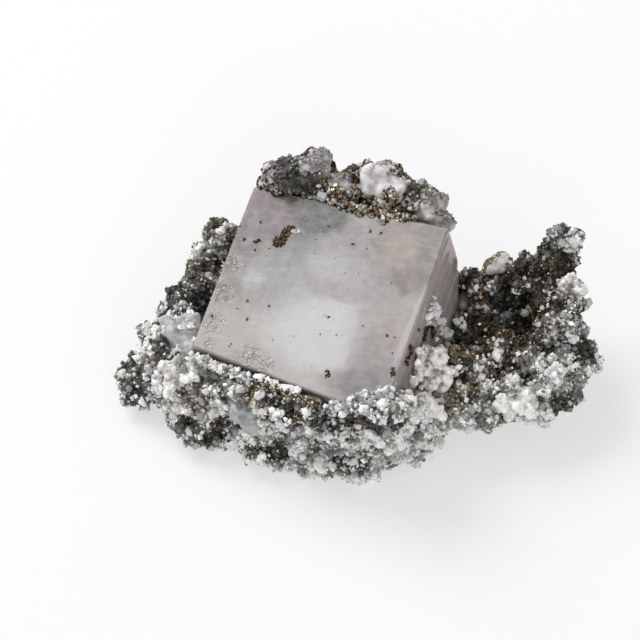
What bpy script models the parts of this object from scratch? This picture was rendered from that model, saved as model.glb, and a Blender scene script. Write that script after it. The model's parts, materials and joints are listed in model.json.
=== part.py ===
"""A pale fluorite cube on its matrix: a hand specimen of pyrite and quartz rock, about 100 mm wide.

Row frame: +X to the right, +Y to the back, +Z up, origin under the middle of the box.
The tables of lumps and crystals are in millimetres, and MM turns them into metres.
"""

import math
import random

import bmesh
import bpy
from mathutils import Euler, Matrix, Vector

MM = 0.001
GAP = 0.35 * MM  # between a crystal and the rock that it sits in

# The fluorite cube. Its own axes: x to its right side, y to its back, z out of its top face.
CUBE_EDGE = 43.7 * MM
CUBE_TOP_CENTRE = Vector((-0.8, -0.3, 28.2)) * MM
CUBE_TURN = Euler([math.radians(angle) for angle in (12.5, -7.6, -21.0)])
CUBE_FOOT = 6.0 * MM  # height at which the cube's hidden foot ends in the rock
CUBE_EDGE_WEAR = 0.3 * MM
NEAR_FACE_SKEW = math.radians(7.0)  # the near face is a contact face, not quite square
REAR_CORNER_DEPTH = 13.0 * MM  # below this the rear right corner narrows
REAR_CORNER_SKEW = math.radians(12.0)
REAR_CORNER_TURN = 0.35  # how far the narrowing plane turns towards the back
LAYER_INSET = 0.03 * MM  # keeps a growth layer's end just inside the cube's own sides

# The rock stops a little under the top face, but grows over the near right corner, beyond a line.
FACE_RIM = 0.2 * MM
FACE_ROOM = 20 * MM
COVERED_CORNER = Vector((14.0, -20.9, 0)) * MM
COVERED_CORNER_OUT = Vector((0.58, -0.82, 0)).normalized()

# Growth layers on the cube's right side: depth below the top face, how far each stands out,
# and where it starts and ends along the side, as shares of the edge from the near end.
GROWTH_LAYERS = (
    (1.6, 0.35, 0.04, 0.97),
    (4.3, 0.8, 0.20, 0.92),
    (7.0, 1.3, 0.02, 0.88),
    (10.6, 1.9, 0.30, 0.96),
    (13.6, 2.3, 0.08, 0.84),
)

# The rock, as lumps that have grown into one: name, centre and half sizes.
ROCK_LUMPS = {
    "floor": ((0, 0, 6.0), (33, 25, 7.0)),
    "front_wall_left": ((-19, -12, 9), (12, 6.5, 10.5)),
    "front_wall_middle": ((-6, -17, 10), (11, 6, 12.0)),
    "front_nose": ((6, -22.0, 12), (9, 5.5, 11)),
    "front_ledge_left": ((-21, -14.5, 4), (11, 6, 5.5)),
    "front_ledge_middle": ((-8, -19.5, 4), (10, 6, 5.5)),
    "front_ledge_right": ((6, -23.0, 4.5), (11, 6, 5.5)),
    "near_corner_cap": ((12.6, -25.0, 22.5), (7.5, 4.6, 5.6)),
    "left_lobe": ((-29.5, -3, 9.5), (8.5, 10, 9)),
    "left_shoulder": ((-29, 7, 8.5), (6.0, 9, 7.5)),
    "left_ridge": ((-24.0, 16, 11), (4.5, 9, 8.5)),
    "left_crest": ((-21.8, 22.5, 16.5), (4, 4.5, 7)),
    "left_tip": ((-37.4, -5.5, 6), (4.8, 4.5, 4)),
    "rear_wall_left": ((-4, 26, 15), (10, 7.0, 17)),
    "rear_knob_left": ((-3, 28.5, 31), (8, 5.0, 5)),
    "rear_wall_right": ((12, 24, 17), (12, 7, 18)),
    "rear_knob_middle": ((11, 26.5, 32), (6.5, 4.5, 5)),
    "rear_knob_right": ((20, 21.0, 31), (6, 4.5, 5.5)),
    "rear_corner": ((20, 19, 14.5), (7.5, 6, 16.0)),
    "right_saddle": ((27, 1, 8.5), (11, 13, 8.5)),
    "right_front": ((30, -14.0, 11.0), (13.5, 6.5, 6)),
    "arm": ((43, -4, 12), (12.5, 12.5, 6.5)),
    "arm_rear": ((41.5, 9.0, 18), (10.5, 5.0, 8.5)),
    "arm_rear_left": ((33.0, 9.0, 17), (4.5, 4.0, 6.5)),
    "arm_far": ((49, 3, 15.5), (6, 9, 7.5)),
    "horn_neck": ((50, 12, 20.5), (4.5, 4.5, 5)),
    "horn": ((50.3, 16.0, 25.0), (4.4, 3.8, 4.3)),
    "arm_end": ((54.4, -6, 13.5), (4.8, 4.5, 3.6)),
    "prong": ((53.3, -12.6, 10.8), (2.0, 3.8, 2.0)),
    "arm_underside": ((45, -13, 10), (7, 5, 4)),
    "near_corner_wrap": ((18.8, -20.8, 11), (5.6, 5.4, 9.5)),
    "brown_knob": ((29.6, -9.2, 17.0), (3.8, 3.8, 5.4)),
    "near_rim_1": ((-24.0, -10.8, 17.9), (3.6, 3.0, 3.6)),
    "near_rim_2": ((-18.3, -14.2, 18.2), (4.0, 3.2, 3.8)),
    "near_rim_3": ((-12.5, -17.2, 18.8), (4.0, 3.2, 3.8)),
    "near_rim_4": ((-6.8, -20.3, 19.4), (4.0, 3.2, 3.8)),
    "near_rim_5": ((-1.4, -23.0, 20.2), (4.0, 3.0, 3.8)),
}
# Hollows eaten into the rock: name, centre and half sizes.
ROCK_HOLLOWS = {
    "arm_vug": ((38.5, 4.6, 21.0), (4.2, 2.8, 5.5)),
    "arm_vug_side": ((43.0, 5.6, 21.5), (3.0, 2.0, 3.5)),
    "arm_pit": ((42.0, 0.4, 18.5), (3.0, 2.0, 3.2)),
    "front_crevice_1": ((-7.5, -21.5, 14.0), (4.2, 4.5, 1.7)),
    "front_crevice_2": ((-2.0, -24.0, 13.0), (4.6, 5.0, 1.9)),
    "front_crevice_3": ((5.0, -25.5, 14.0), (5.2, 5.0, 2.0)),
    "front_crevice_4": ((12.5, -26.0, 13.0), (5.6, 4.5, 1.8)),
    "left_notch": ((-34.0, 2.6, 17.5), (3.0, 2.5, 3.0)),
    "left_gully": ((-22.5, 8.0, 15.5), (2.2, 4.0, 3.5)),
}
ROCK_VOXEL = 1.1 * MM
ROCK_TRIANGLES = 4000

# Clusters of larger crystals set in the rock: kind, then centre, size and turn of each crystal.
CLUSTERS = {
    "rear_fluorite_left": ("fluorite", (
        ((-8.3, 29.0, 29.6), 6.0, (20, 35, 10)),
        ((-1.1, 29.6, 33.0), 5.8, (48, 12, 40)),
        ((-4.6, 28.6, 30.2), 5.2, (12, 20, 70)),
    )),
    "rear_fluorite_middle": ("fluorite", (
        ((4.4, 24.8, 33.0), 4.8, (35, 20, 25)),
    )),
    "rear_fluorite_right": ("fluorite", (
        ((14.6, 24.0, 34.0), 7.4, (10, 38, 55)),
        ((10.4, 25.6, 34.2), 5.4, (35, 20, 25)),
    )),
    "corner_fluorite": ("fluorite", (
        ((22.6, 19.6, 32.4), 6.2, (28, 30, 15)),
        ((24.6, 17.0, 31.4), 4.4, (52, 8, 35)),
    )),
    "side_fluorite": ("fluorite", (
        ((29.4, 7.0, 16.8), 3.8, (30, 25, 50)),
    )),
    "arm_fluorite": ("fluorite", (
        ((36.6, 10.2, 25.4), 4.0, (25, 40, 20)),
        ((38.8, 11.4, 25.0), 3.2, (60, 15, 75)),
    )),
    "left_calcite": ("calcite", (
        ((-28.4, -1.0, 16.8), 7.4, (25, 10, 20)),
        ((-25.4, -5.4, 16.4), 5.6, (60, 30, 70)),
    )),
    "left_low_calcite": ("calcite", (
        ((-30.4, -8.6, 12.6), 6.4, (10, 50, 130)),
        ((-26.6, -10.8, 13.4), 4.8, (40, 25, 60)),
    )),
    "front_calcite": ("calcite", (
        ((-15.6, -18.0, 13.4), 5.2, (65, 10, 25)),
        ((-13.2, -19.2, 10.4), 4.6, (30, 35, 75)),
    )),
    "right_calcite": ("calcite", (
        ((22.4, -11.2, 20.8), 6.6, (35, 20, 10)),
        ((24.4, -13.2, 18.8), 5.0, (5, 45, 80)),
    )),
    "near_calcite": ("calcite", (
        ((22.0, -19.4, 16.8), 4.8, (50, 15, 35)),
        ((18.2, -20.2, 18.8), 4.2, (20, 35, 100)),
    )),
    "arm_calcite": ("calcite", (
        ((38.6, -16.4, 12.8), 5.2, (15, 25, 60)),
        ((42.6, -15.6, 12.8), 5.0, (45, 40, 15)),
    )),
    "horn_calcite": ("calcite", (
        ((52.6, 7.2, 21.8), 4.4, (20, 55, 30)),
    )),
}
EDGE_WEAR = {"fluorite": 0.6 * MM, "calcite": 0.25 * MM}
SOCKET_GROWTH = 2.3  # a socket is wider than its crystal by this many gaps
CLUSTERS_MEET = 0.9  # two crystals may touch when they are nearer than this share of their sizes
CALCITE_ANGLE = math.radians(102.0)  # between the edges of a calcite rhomb

# Small crystals that are grown fast on the rock: how many, and their smallest and largest size.
PYRITE_CUBES = (30, 1.8, 3.4)
QUARTZ_POINTS = (28, 1.6, 2.8)
CRYSTAL_SPACING = 4.2 * MM
CRYSTAL_LEAN = 28  # degrees
CRYSTAL_SINK = 0.2  # share of its size
CRYSTAL_MARGIN = 0.8  # room that a small crystal needs, as a share of its size
CLUSTER_REACH = 0.75  # half of a turned cluster crystal, as a share of its size
LAYER_REACH = 2.5 * MM  # how far the growth layers stand out
BASE_MARGIN = 2.5 * MM  # no small crystal stands lower
TRIES = 60

SEED = 11

# Colour, roughness and metallic value of each mineral.
FINISHES = {
    "fluorite": ((0.56, 0.51, 0.56), 0.22, 0.0),
    "calcite": ((0.80, 0.79, 0.76), 0.45, 0.0),
    "rock": ((0.21, 0.19, 0.17), 0.55, 0.2),
}


def collection(name, shown=True):
    made = bpy.data.collections.new(name)
    bpy.context.scene.collection.children.link(made)
    made.hide_render = not shown
    return made


for old in list(bpy.data.objects):
    bpy.data.objects.remove(old)
SPECIMEN = collection("fluorite_specimen")
CUTTERS = collection("cutters", shown=False)


def object_from(name, mesh, home):
    data = bpy.data.meshes.new(name)
    mesh.to_mesh(data)
    mesh.free()
    obj = bpy.data.objects.new(name, data)
    home.objects.link(obj)
    if home is CUTTERS:
        obj.hide_render = True
        obj.display_type = "WIRE"
    return obj


def turned(angles):
    return Euler([math.radians(angle) for angle in angles]).to_matrix().to_4x4()


def bake_modifiers(obj):
    graph = bpy.context.evaluated_depsgraph_get()
    data = bpy.data.meshes.new_from_object(obj.evaluated_get(graph))
    obj.modifiers.clear()
    obj.data = data


def boolean(obj, other, operation, solver="EXACT"):
    modifier = obj.modifiers.new(f"{operation.lower()}_{other.name}", "BOOLEAN")
    modifier.operation = operation
    modifier.solver = solver
    modifier.object = other
    return modifier


def finish(obj, kind):
    """Give a piece its own material, in the colours of its mineral."""
    colour, roughness, metallic = FINISHES[kind]
    material = bpy.data.materials.new(obj.name)
    material.use_nodes = True
    shader = material.node_tree.nodes["Principled BSDF"]
    shader.inputs["Base Color"].default_value = (*colour, 1)
    shader.inputs["Roughness"].default_value = roughness
    shader.inputs["Metallic"].default_value = metallic
    obj.data.materials.clear()
    obj.data.materials.append(material)


def merge_into(mesh, piece):
    data = bpy.data.meshes.new("piece")
    piece.to_mesh(data)
    piece.free()
    mesh.from_mesh(data)
    bpy.data.meshes.remove(data)


def box(low, high):
    mesh = bmesh.new()
    size = Vector(high) - Vector(low)
    middle = (Vector(high) + Vector(low)) / 2
    bmesh.ops.create_cube(mesh, size=1.0, matrix=Matrix.Translation(middle) @ Matrix.Diagonal((*size, 1)))
    return mesh


def cut_away(mesh, point, outward):
    """Remove what lies beyond a plane, and close the cut with one flat face."""
    everything = mesh.verts[:] + mesh.edges[:] + mesh.faces[:]
    cut = bmesh.ops.bisect_plane(mesh, geom=everything, dist=1e-7, plane_co=point,
                                 plane_no=outward, clear_outer=True)
    rim = [item for item in cut["geom_cut"] if isinstance(item, bmesh.types.BMEdge)]
    if rim:
        bmesh.ops.edgeloop_fill(mesh, edges=rim)


# The fluorite cube, in its own axes: z is 0 on its top face ---------------------------------------

CUBE_PLACE = Matrix.Translation(CUBE_TOP_CENTRE) @ CUBE_TURN.to_matrix().to_4x4()
HALF = CUBE_EDGE / 2


def trim_cube_sides(mesh, grow):
    """Cut the skew near face, the narrowing rear corner and the hidden foot."""
    near = Vector((math.sin(-NEAR_FACE_SKEW), -math.cos(NEAR_FACE_SKEW), 0))
    cut_away(mesh, Vector((HALF, -HALF, 0)) + near * grow, near)
    rear = Vector((math.cos(REAR_CORNER_SKEW), REAR_CORNER_TURN, -math.sin(REAR_CORNER_SKEW))).normalized()
    cut_away(mesh, Vector((HALF, HALF, -REAR_CORNER_DEPTH)) + rear * grow, rear)
    down = CUBE_PLACE.to_3x3().transposed() @ Vector((0, 0, -1))
    foot = CUBE_PLACE.inverted() @ Vector((0, 0, CUBE_FOOT))
    cut_away(mesh, foot + down * grow, down)


def growth_layers(name, grow):
    """Steps on the right side, each standing out further than the one above it."""
    mesh = bmesh.new()
    for depth, out, start, end in GROWTH_LAYERS:
        layer = box((0, -HALF + start * CUBE_EDGE - grow, -CUBE_EDGE),
                    (HALF + out * MM + grow, -HALF + end * CUBE_EDGE + grow, -depth * MM + grow))
        trim_cube_sides(layer, grow - LAYER_INSET)
        merge_into(mesh, layer)
    layers = object_from(name, mesh, CUTTERS)
    layers.matrix_world = CUBE_PLACE
    return layers


def fluorite_cube(name, grow, home):
    mesh = box((-HALF - grow, -HALF - grow, -CUBE_EDGE), (HALF + grow, HALF + grow, grow))
    trim_cube_sides(mesh, grow)
    block = object_from(name, mesh, home)
    block.matrix_world = CUBE_PLACE
    wear = block.modifiers.new("worn_edges", "BEVEL")
    wear.width = CUBE_EDGE_WEAR
    wear.segments = 1
    union = boolean(block, growth_layers(f"{name}_growth", grow), "UNION")
    union.use_self = True  # the layers lie one inside another
    return block


def room_over_face(name):
    """Clears the rock from over the top face, but for the corner that the rock has grown over."""
    mesh = box((-HALF - GAP, -HALF - GAP, -FACE_RIM), (HALF + GAP, HALF + GAP, FACE_ROOM))
    cut_away(mesh, COVERED_CORNER, COVERED_CORNER_OUT)
    room = object_from(name, mesh, CUTTERS)
    room.matrix_world = CUBE_PLACE
    return room


# Crystals, each in its own axes -----------------------------------------------------------------


def cube_crystal(size):
    mesh = bmesh.new()
    bmesh.ops.create_cube(mesh, size=size)
    return mesh


def calcite_rhomb(size):
    """A cube pressed along one corner-to-corner line."""
    lean = math.cos(CALCITE_ANGLE) / 2
    mesh = bmesh.new()
    bmesh.ops.create_cube(mesh, size=size, matrix=Matrix(
        ((1, lean, lean, 0), (lean, 1, lean, 0), (lean, lean, 1, 0), (0, 0, 0, 1))))
    return mesh


def quartz_point(size):
    """A six-sided prism with a pointed end."""
    mesh = bmesh.new()
    bmesh.ops.create_cone(mesh, cap_ends=True, segments=6, radius1=size / 2, radius2=size / 2,
                          depth=size * 1.6)
    end = max(mesh.faces, key=lambda face: face.calc_center_median().z)
    tip = bmesh.ops.poke(mesh, faces=[end])["verts"][0]
    tip.co.z += size * 0.5
    return mesh


CRYSTAL_KINDS = {"fluorite": cube_crystal, "calcite": calcite_rhomb}


def crystal_cluster(name, kind, crystals, grow, home):
    """Crystals that have grown through one another, joined into one solid."""
    parts = []
    for number, (centre, size, turn) in enumerate(crystals):
        mesh = CRYSTAL_KINDS[kind](size * MM + SOCKET_GROWTH * grow)
        part = object_from(f"{name}_{number}" if number else name, mesh, CUTTERS if number else home)
        part.location = Vector(centre) * MM
        part.rotation_euler = [math.radians(angle) for angle in turn]
        wear = part.modifiers.new("worn_edges", "BEVEL")
        wear.width = EDGE_WEAR[kind]
        wear.segments = 1
        parts.append(part)
    for part in parts[1:]:
        boolean(parts[0], part, "UNION")
    return parts[0]


# The rock ---------------------------------------------------------------------------------------


def lumps_mesh(table):
    mesh = bmesh.new()
    for centre, half_sizes in table.values():
        place = Matrix.Translation(Vector(centre) * MM)
        scale = Matrix.Diagonal((*[half * MM for half in half_sizes], 1))
        bmesh.ops.create_icosphere(mesh, subdivisions=3, radius=1.0, matrix=place @ scale)
    return mesh


def roughen(obj, name, kind, size, strength):
    texture = bpy.data.textures.new(name, kind)
    texture.noise_scale = size
    modifier = obj.modifiers.new(name, "DISPLACE")
    modifier.texture = texture
    modifier.texture_coords = "GLOBAL"
    modifier.strength = strength
    modifier.mid_level = 0.5


def fuse(obj, name):
    modifier = obj.modifiers.new(name, "REMESH")
    modifier.mode = "VOXEL"
    modifier.voxel_size = ROCK_VOXEL


def rock_body():
    rock = object_from("matrix", lumps_mesh(ROCK_LUMPS), SPECIMEN)
    fuse(rock, "fuse_lumps")
    hollows = object_from("hollows", lumps_mesh(ROCK_HOLLOWS), CUTTERS)
    fuse(hollows, "fuse_hollows")
    boolean(rock, hollows, "DIFFERENCE")
    roughen(rock, "knobs", "VORONOI", 6.5 * MM, -3.2 * MM)
    roughen(rock, "grit", "CLOUDS", 2.2 * MM, 1.4 * MM)
    fuse(rock, "fuse_folds")
    bake_modifiers(rock)
    thin = rock.modifiers.new("facets", "DECIMATE")
    thin.ratio = ROCK_TRIANGLES / (2 * len(rock.data.polygons))
    bake_modifiers(rock)
    return rock


def clear_of_crystals(point, margin):
    """Whether a point is outside the cube, its open top face and every loose cluster."""
    local = CUBE_PLACE.inverted() @ point
    reach = HALF + margin
    if abs(local.x) < reach + LAYER_REACH and abs(local.y) < reach:
        return False
    for _, crystals in CLUSTERS.values():
        for centre, size, _ in crystals:
            if (point - Vector(centre) * MM).length < size * MM * CLUSTER_REACH + margin:
                return False
    return point.z > BASE_MARGIN


def scattered_crystals(rock, chance):
    """Small crystals grown fast on the rock, spaced so that no two of them meet."""
    faces = [face for face in rock.data.polygons if face.normal.z > -0.5]
    areas = [face.area for face in faces]
    kinds = [("pyrite", PYRITE_CUBES)] * PYRITE_CUBES[0] + [("quartz", QUARTZ_POINTS)] * QUARTZ_POINTS[0]
    placed = []
    mesh = bmesh.new()
    for kind, (_, smallest, largest) in kinds:
        for _ in range(TRIES):
            face = chance.choices(faces, areas)[0]
            spot = face.center.copy()
            near = any((spot - other).length < CRYSTAL_SPACING for other in placed)
            if not near and clear_of_crystals(spot, largest * MM * CRYSTAL_MARGIN):
                break
        else:
            continue
        placed.append(spot)
        size = chance.uniform(smallest, largest) * MM
        lean = turned([chance.uniform(-CRYSTAL_LEAN, CRYSTAL_LEAN) for _ in range(3)])
        upright = face.normal.to_track_quat("Z", "Y").to_matrix().to_4x4()
        crystal = quartz_point(size) if kind == "quartz" else cube_crystal(size)
        sunk = Matrix.Translation(spot - face.normal * size * CRYSTAL_SINK)
        crystal.transform(sunk @ upright @ lean)
        merge_into(mesh, crystal)
    print("small crystals grown on the rock:", len(placed))
    return object_from("small_crystals", mesh, CUTTERS)


def keep_main_body(obj):
    """Drop the crumbs that cutting has left, and keep the body with the most faces."""
    mesh = bmesh.new()
    mesh.from_mesh(obj.data)
    unseen = set(mesh.verts)
    bodies = []
    while unseen:
        start = unseen.pop()
        body, edge_of = {start}, [start]
        while edge_of:
            for edge in edge_of.pop().link_edges:
                for vert in edge.verts:
                    if vert in unseen:
                        unseen.discard(vert)
                        body.add(vert)
                        edge_of.append(vert)
        bodies.append(body)
    bodies.sort(key=len)
    for body in bodies[:-1]:
        bmesh.ops.delete(mesh, geom=list(body), context="VERTS")
    print("bodies cut loose from", obj.name, "and removed:", len(bodies) - 1)
    mesh.to_mesh(obj.data)
    mesh.free()


def meet(crystals, others):
    """Whether a crystal of one cluster may touch a crystal of another."""
    return any((Vector(centre) - Vector(other)).length < (size + other_size) * CLUSTERS_MEET
               for centre, size, _ in crystals for other, other_size, _ in others)


# Put together -----------------------------------------------------------------------------------

cube = fluorite_cube("fluorite_cube", 0, SPECIMEN)
finish(cube, "fluorite")
cube_socket = fluorite_cube("cube_socket", GAP, CUTTERS)

rock = rock_body()
cuts = [cube_socket, room_over_face("face_room")]
earlier_clusters = []
for name, (kind, crystals) in CLUSTERS.items():
    cluster = crystal_cluster(name, kind, crystals, 0, SPECIMEN)
    boolean(cluster, cube_socket, "DIFFERENCE")
    for others, socket in earlier_clusters:
        if meet(crystals, others):
            boolean(cluster, socket, "DIFFERENCE")
    finish(cluster, kind)
    socket = crystal_cluster(f"{name}_socket", kind, crystals, GAP, CUTTERS)
    earlier_clusters.append((crystals, socket))
    cuts.append(socket)
cuts.append(object_from("ground", box((-0.2, -0.2, -0.05), (0.2, 0.2, 0)), CUTTERS))

# EXACT leaves open edges where it cuts the rock's many small facets.
boolean(rock, scattered_crystals(rock, random.Random(SEED)), "UNION", solver="MANIFOLD")
for cutter in cuts:
    boolean(rock, cutter, "DIFFERENCE", solver="MANIFOLD")
bake_modifiers(rock)
keep_main_body(rock)
finish(rock, "rock")

# The origin goes under the middle of the whole specimen.
bpy.context.view_layer.update()
graph = bpy.context.evaluated_depsgraph_get()
points = [obj.matrix_world @ vert.co
          for obj in SPECIMEN.objects for vert in obj.evaluated_get(graph).data.vertices]
low = Vector([min(point[axis] for point in points) for axis in range(3)])
high = Vector([max(point[axis] for point in points) for axis in range(3)])
centring = bpy.data.objects.new("centring", None)
for obj in list(SPECIMEN.objects) + list(CUTTERS.objects):
    obj.parent = centring
SPECIMEN.objects.link(centring)
centring.location = (-(low.x + high.x) / 2, -(low.y + high.y) / 2, -low.z)
bpy.context.view_layer.update()
print("width, depth and height in mm:", [round(side * 1000, 2) for side in high - low])
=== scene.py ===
# %% [markdown]
# # A fluorite cube on its matrix
# This notebook dresses a mineral specimen: a large pale fluorite cube that grew on a rough bed of quartz,
# pyrite and calcite. The solid model gives the true shapes and places. Here every surface gets its finish,
# and the rock gets the thousands of fine crystals that make it glitter.

# %% Load the solid model
import json
import math

import bmesh
import bpy
import numpy as np
from mathutils import Euler, Matrix, Vector, noise
from mathutils.bvhtree import BVHTree

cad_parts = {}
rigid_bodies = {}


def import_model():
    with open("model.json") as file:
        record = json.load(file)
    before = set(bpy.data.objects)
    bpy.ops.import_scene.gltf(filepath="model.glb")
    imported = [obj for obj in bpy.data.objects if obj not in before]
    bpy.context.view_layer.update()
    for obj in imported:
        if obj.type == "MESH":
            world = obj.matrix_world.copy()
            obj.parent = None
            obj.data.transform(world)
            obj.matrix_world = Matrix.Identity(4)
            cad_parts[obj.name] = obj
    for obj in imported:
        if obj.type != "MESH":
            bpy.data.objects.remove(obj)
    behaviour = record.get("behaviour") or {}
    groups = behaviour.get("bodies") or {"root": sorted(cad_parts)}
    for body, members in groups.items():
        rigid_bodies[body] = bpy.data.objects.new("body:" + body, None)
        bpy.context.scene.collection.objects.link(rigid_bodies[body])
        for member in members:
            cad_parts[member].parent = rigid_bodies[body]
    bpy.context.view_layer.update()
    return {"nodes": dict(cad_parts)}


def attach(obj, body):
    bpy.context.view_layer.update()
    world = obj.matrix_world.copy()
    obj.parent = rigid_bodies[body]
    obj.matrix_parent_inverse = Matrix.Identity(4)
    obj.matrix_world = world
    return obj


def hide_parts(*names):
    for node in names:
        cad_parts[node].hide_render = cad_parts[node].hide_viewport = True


MM = 0.001
for leftover in list(bpy.data.objects):
    bpy.data.objects.remove(leftover)
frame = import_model()
SOLIDS = frame["nodes"]

# %% [markdown]
# ## Where things are
# A fluorite crystal is a cube, and its leaning top face makes a good drawing board. We find the face on the
# solid, and keep its middle and its axes in the matrix `FACE`. Places on the rock are given from the ground
# instead, along the room's axes: `at` takes them in millimetres.

# %% Find the cube's top face
CUBE_TURN = Euler([math.radians(angle) for angle in (12.5, -7.6, -21.0)]).to_matrix()
HALF_CUBE = 43.7 * MM / 2
EDGE_WEAR = 0.3 * MM
FLATNESS = 0.02 * MM
FACE_FROM_GROUND = Vector((-0.8, -0.3, 28.2))  # the face's middle as `at` gives it, in mm

in_face_axes = [CUBE_TURN.inverted() @ vert.co for vert in SOLIDS["fluorite_cube"].data.vertices]
top = max(point.z for point in in_face_axes)
rim = [point for point in in_face_axes if point.z > top - FLATNESS]
reach = HALF_CUBE - EDGE_WEAR
face_middle = Vector((max(point.x for point in rim) - reach, max(point.y for point in rim) - reach, top))
FACE = Matrix.Translation(CUBE_TURN @ face_middle) @ CUBE_TURN.to_4x4()
GROUND = FACE.translation - FACE_FROM_GROUND * MM
print("face middle in mm:", [round(v / MM, 2) for v in FACE.translation])


def at(x, y, z):
    return GROUND + Vector((x, y, z)) * MM


# %% [markdown]
# ## Camera
# A long lens from half a metre away shows a small stone without stretching its near corner. The camera
# looks down steeply, at 55 degrees, so that the cube's face is seen almost whole and its right side just
# shows.

# %% Set the camera
LOOK_DOWN = math.radians(55)
CAMERA_DISTANCE = 0.48
LENS = 129.6


def new_object(name, data):
    made = bpy.data.objects.new(name, data)
    bpy.context.scene.collection.objects.link(made)
    return made


camera = new_object("camera", bpy.data.cameras.new("camera"))
bpy.context.scene.camera = camera
camera.data.lens = LENS
camera.data.clip_start = 0.02
camera.location = at(0, 0, 20) + Vector((0, -math.cos(LOOK_DOWN), math.sin(LOOK_DOWN))) * CAMERA_DISTANCE
camera.rotation_euler = (math.pi / 2 - LOOK_DOWN, 0, 0)
print("camera at", [round(v, 3) for v in camera.location])

# %% [markdown]
# ## Light and floor
# A stone like this is lit with one broad soft lamp from the upper left and behind, on a white light table.
# A weak lamp low in front and the white surroundings fill the shadows. The table glows a little itself,
# which keeps the stone's shadow pale while the lamp still models the crystals.

# %% Set the table and the lamps
WHITE = (1.0, 1.0, 1.0)
ROOM_GLOW = 0.55
TABLE_GREY = (0.36, 0.36, 0.36)
TABLE_GLOW = 0.54
LAMPS = (  # name, place and width in metres, watts
    ("broad_lamp", (-0.88, 0.84, 1.30), 1.15, 25.0),
    ("front_fill", (0.25, -1.40, 0.75), 1.30, 5.5),
)


def put(tree, socket, value):
    """Give an input a value, or link it to another node's output."""
    if isinstance(value, bpy.types.NodeSocket):
        tree.links.new(value, socket)
    elif socket.type == "RGBA":
        socket.default_value = (*value, 1)
    else:
        socket.default_value = value


def plug(tree, target, **values):
    """Fill several inputs of a node by name, with _ for a space."""
    for name, value in values.items():
        put(tree, target.inputs[name.replace("_", " ")], value)


def material(name, **values):
    made = bpy.data.materials.new(name)
    made.use_nodes = True
    shader = made.node_tree.nodes["Principled BSDF"]
    plug(made.node_tree, shader, **values)
    return made, made.node_tree, shader


bpy.context.scene.view_settings.view_transform = "Standard"
world = bpy.data.worlds.new("white_room")
bpy.context.scene.world = world
world.use_nodes = True
plug(world.node_tree, world.node_tree.nodes["Background"], Color=WHITE, Strength=ROOM_GLOW)

for name, place, width, watts in LAMPS:
    data = bpy.data.lights.new(name, "AREA")
    data.shape = "DISK"
    data.size = width
    data.energy = watts
    lamp = new_object(name, data)
    lamp.location = place
    lamp.rotation_euler = (at(0, 0, 10) - lamp.location).to_track_quat("-Z", "Y").to_euler()

bpy.ops.mesh.primitive_plane_add(size=6, location=(0, 0, -0.1 * MM))
table = bpy.context.object
table.name = "white_table"
table_finish, _, _ = material("white_table", Base_Color=TABLE_GREY, Roughness=0.9, Emission_Color=WHITE,
                              Emission_Strength=TABLE_GLOW)
table.data.materials.append(table_finish)

# %% [markdown]
# ## Helpers for meshes
# Several pieces start as a copy of their solid. The copy is welded, because the file format splits its
# corners, then rebuilt as an even skin by the Remesh modifier, whose small faces can carry fine relief.
# Sculpting could raise the relief, but procedural textures through the Displace modifier raise it evenly,
# all round, and the same in each run. All sizes here are in millimetres.

# %% Copy a solid as a finer skin
SAME_PLACE = 1e-7  # corners closer than this many metres are one


def welded_copy(node, name):
    mesh = bmesh.new()
    mesh.from_mesh(SOLIDS[node].data)
    bmesh.ops.remove_doubles(mesh, verts=mesh.verts, dist=SAME_PLACE)
    data = bpy.data.meshes.new(name)
    mesh.to_mesh(data)
    mesh.free()
    return new_object(name, data)


def even_skin(obj, voxel):
    modifier = obj.modifiers.new("even_skin", "REMESH")
    modifier.mode = "VOXEL"
    modifier.voxel_size = voxel * MM


def soften(obj, rounds):
    modifier = obj.modifiers.new("soften", "SMOOTH")
    modifier.iterations = rounds


def raise_pattern(obj, name, kind, size, height, mid_level=0.5, **settings):
    """Push the skin in and out by a procedural texture."""
    texture = bpy.data.textures.new(name, kind)
    texture.noise_scale = size * MM
    for setting, value in settings.items():
        setattr(texture, setting, value)
    modifier = obj.modifiers.new(name, "DISPLACE")
    modifier.texture = texture
    modifier.texture_coords = "GLOBAL"
    modifier.strength = height * MM
    modifier.mid_level = mid_level


def settle(obj):
    """Make the modifiers' result the object's own mesh."""
    graph = bpy.context.evaluated_depsgraph_get()
    data = bpy.data.meshes.new_from_object(obj.evaluated_get(graph))
    obj.modifiers.clear()
    obj.data = data
    data.materials.clear()


def dress(obj, slot, finish, *nodes):
    """Every piece rides on the specimen, wears its finish, and stands for its solids; the slot is not used.
    """
    obj.data.materials.clear()
    obj.data.materials.append(finish)
    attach(obj, "root")
    if nodes:
        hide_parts(*nodes)
    print(obj.name, "has", len(obj.data.polygons), "faces")


# %% [markdown]
# ## The rock's skin
# The real rock is a crust of crystals on crystals, with no smooth part. Its skin is the solid's, rebuilt
# with faces of about half a millimetre, and pushed out in knobs at three sizes. Voronoi cells give rounded
# knobs with sharp creases between them, and the Chebychev distance gives the smallest ones square
# shoulders. We keep each corner's height above the plain skin, because it steers painted shade: the skin
# is painted darker in the hollows and lighter on the knobs, and dark minerals are drawn into the hollows
# and pale ones onto the knobs, which paints shade as well.

# %% Make the rock's skin
def corners(obj, normals=False):
    """The places of a mesh's corners, or their normals, as rows of x, y and z."""
    source, field = (obj.data.vertex_normals, "vector") if normals else (obj.data.vertices, "co")
    rows = np.empty(len(source) * 3)
    source.foreach_get(field, rows)
    return rows.reshape(-1, 3)


rock = welded_copy("matrix", "rock")
even_skin(rock, 0.56)
settle(rock)
plain_skin, plain_normals = corners(rock), corners(rock, normals=True)
raise_pattern(rock, "knobs", "VORONOI", 4.2, -2.6)
raise_pattern(rock, "crystals", "VORONOI", 1.9, -1.3)
raise_pattern(rock, "crumbs", "VORONOI", 0.9, -0.45, distance_metric="CHEBYCHEV")
settle(rock)
print("rock skin:", len(rock.data.polygons), "faces")

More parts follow.
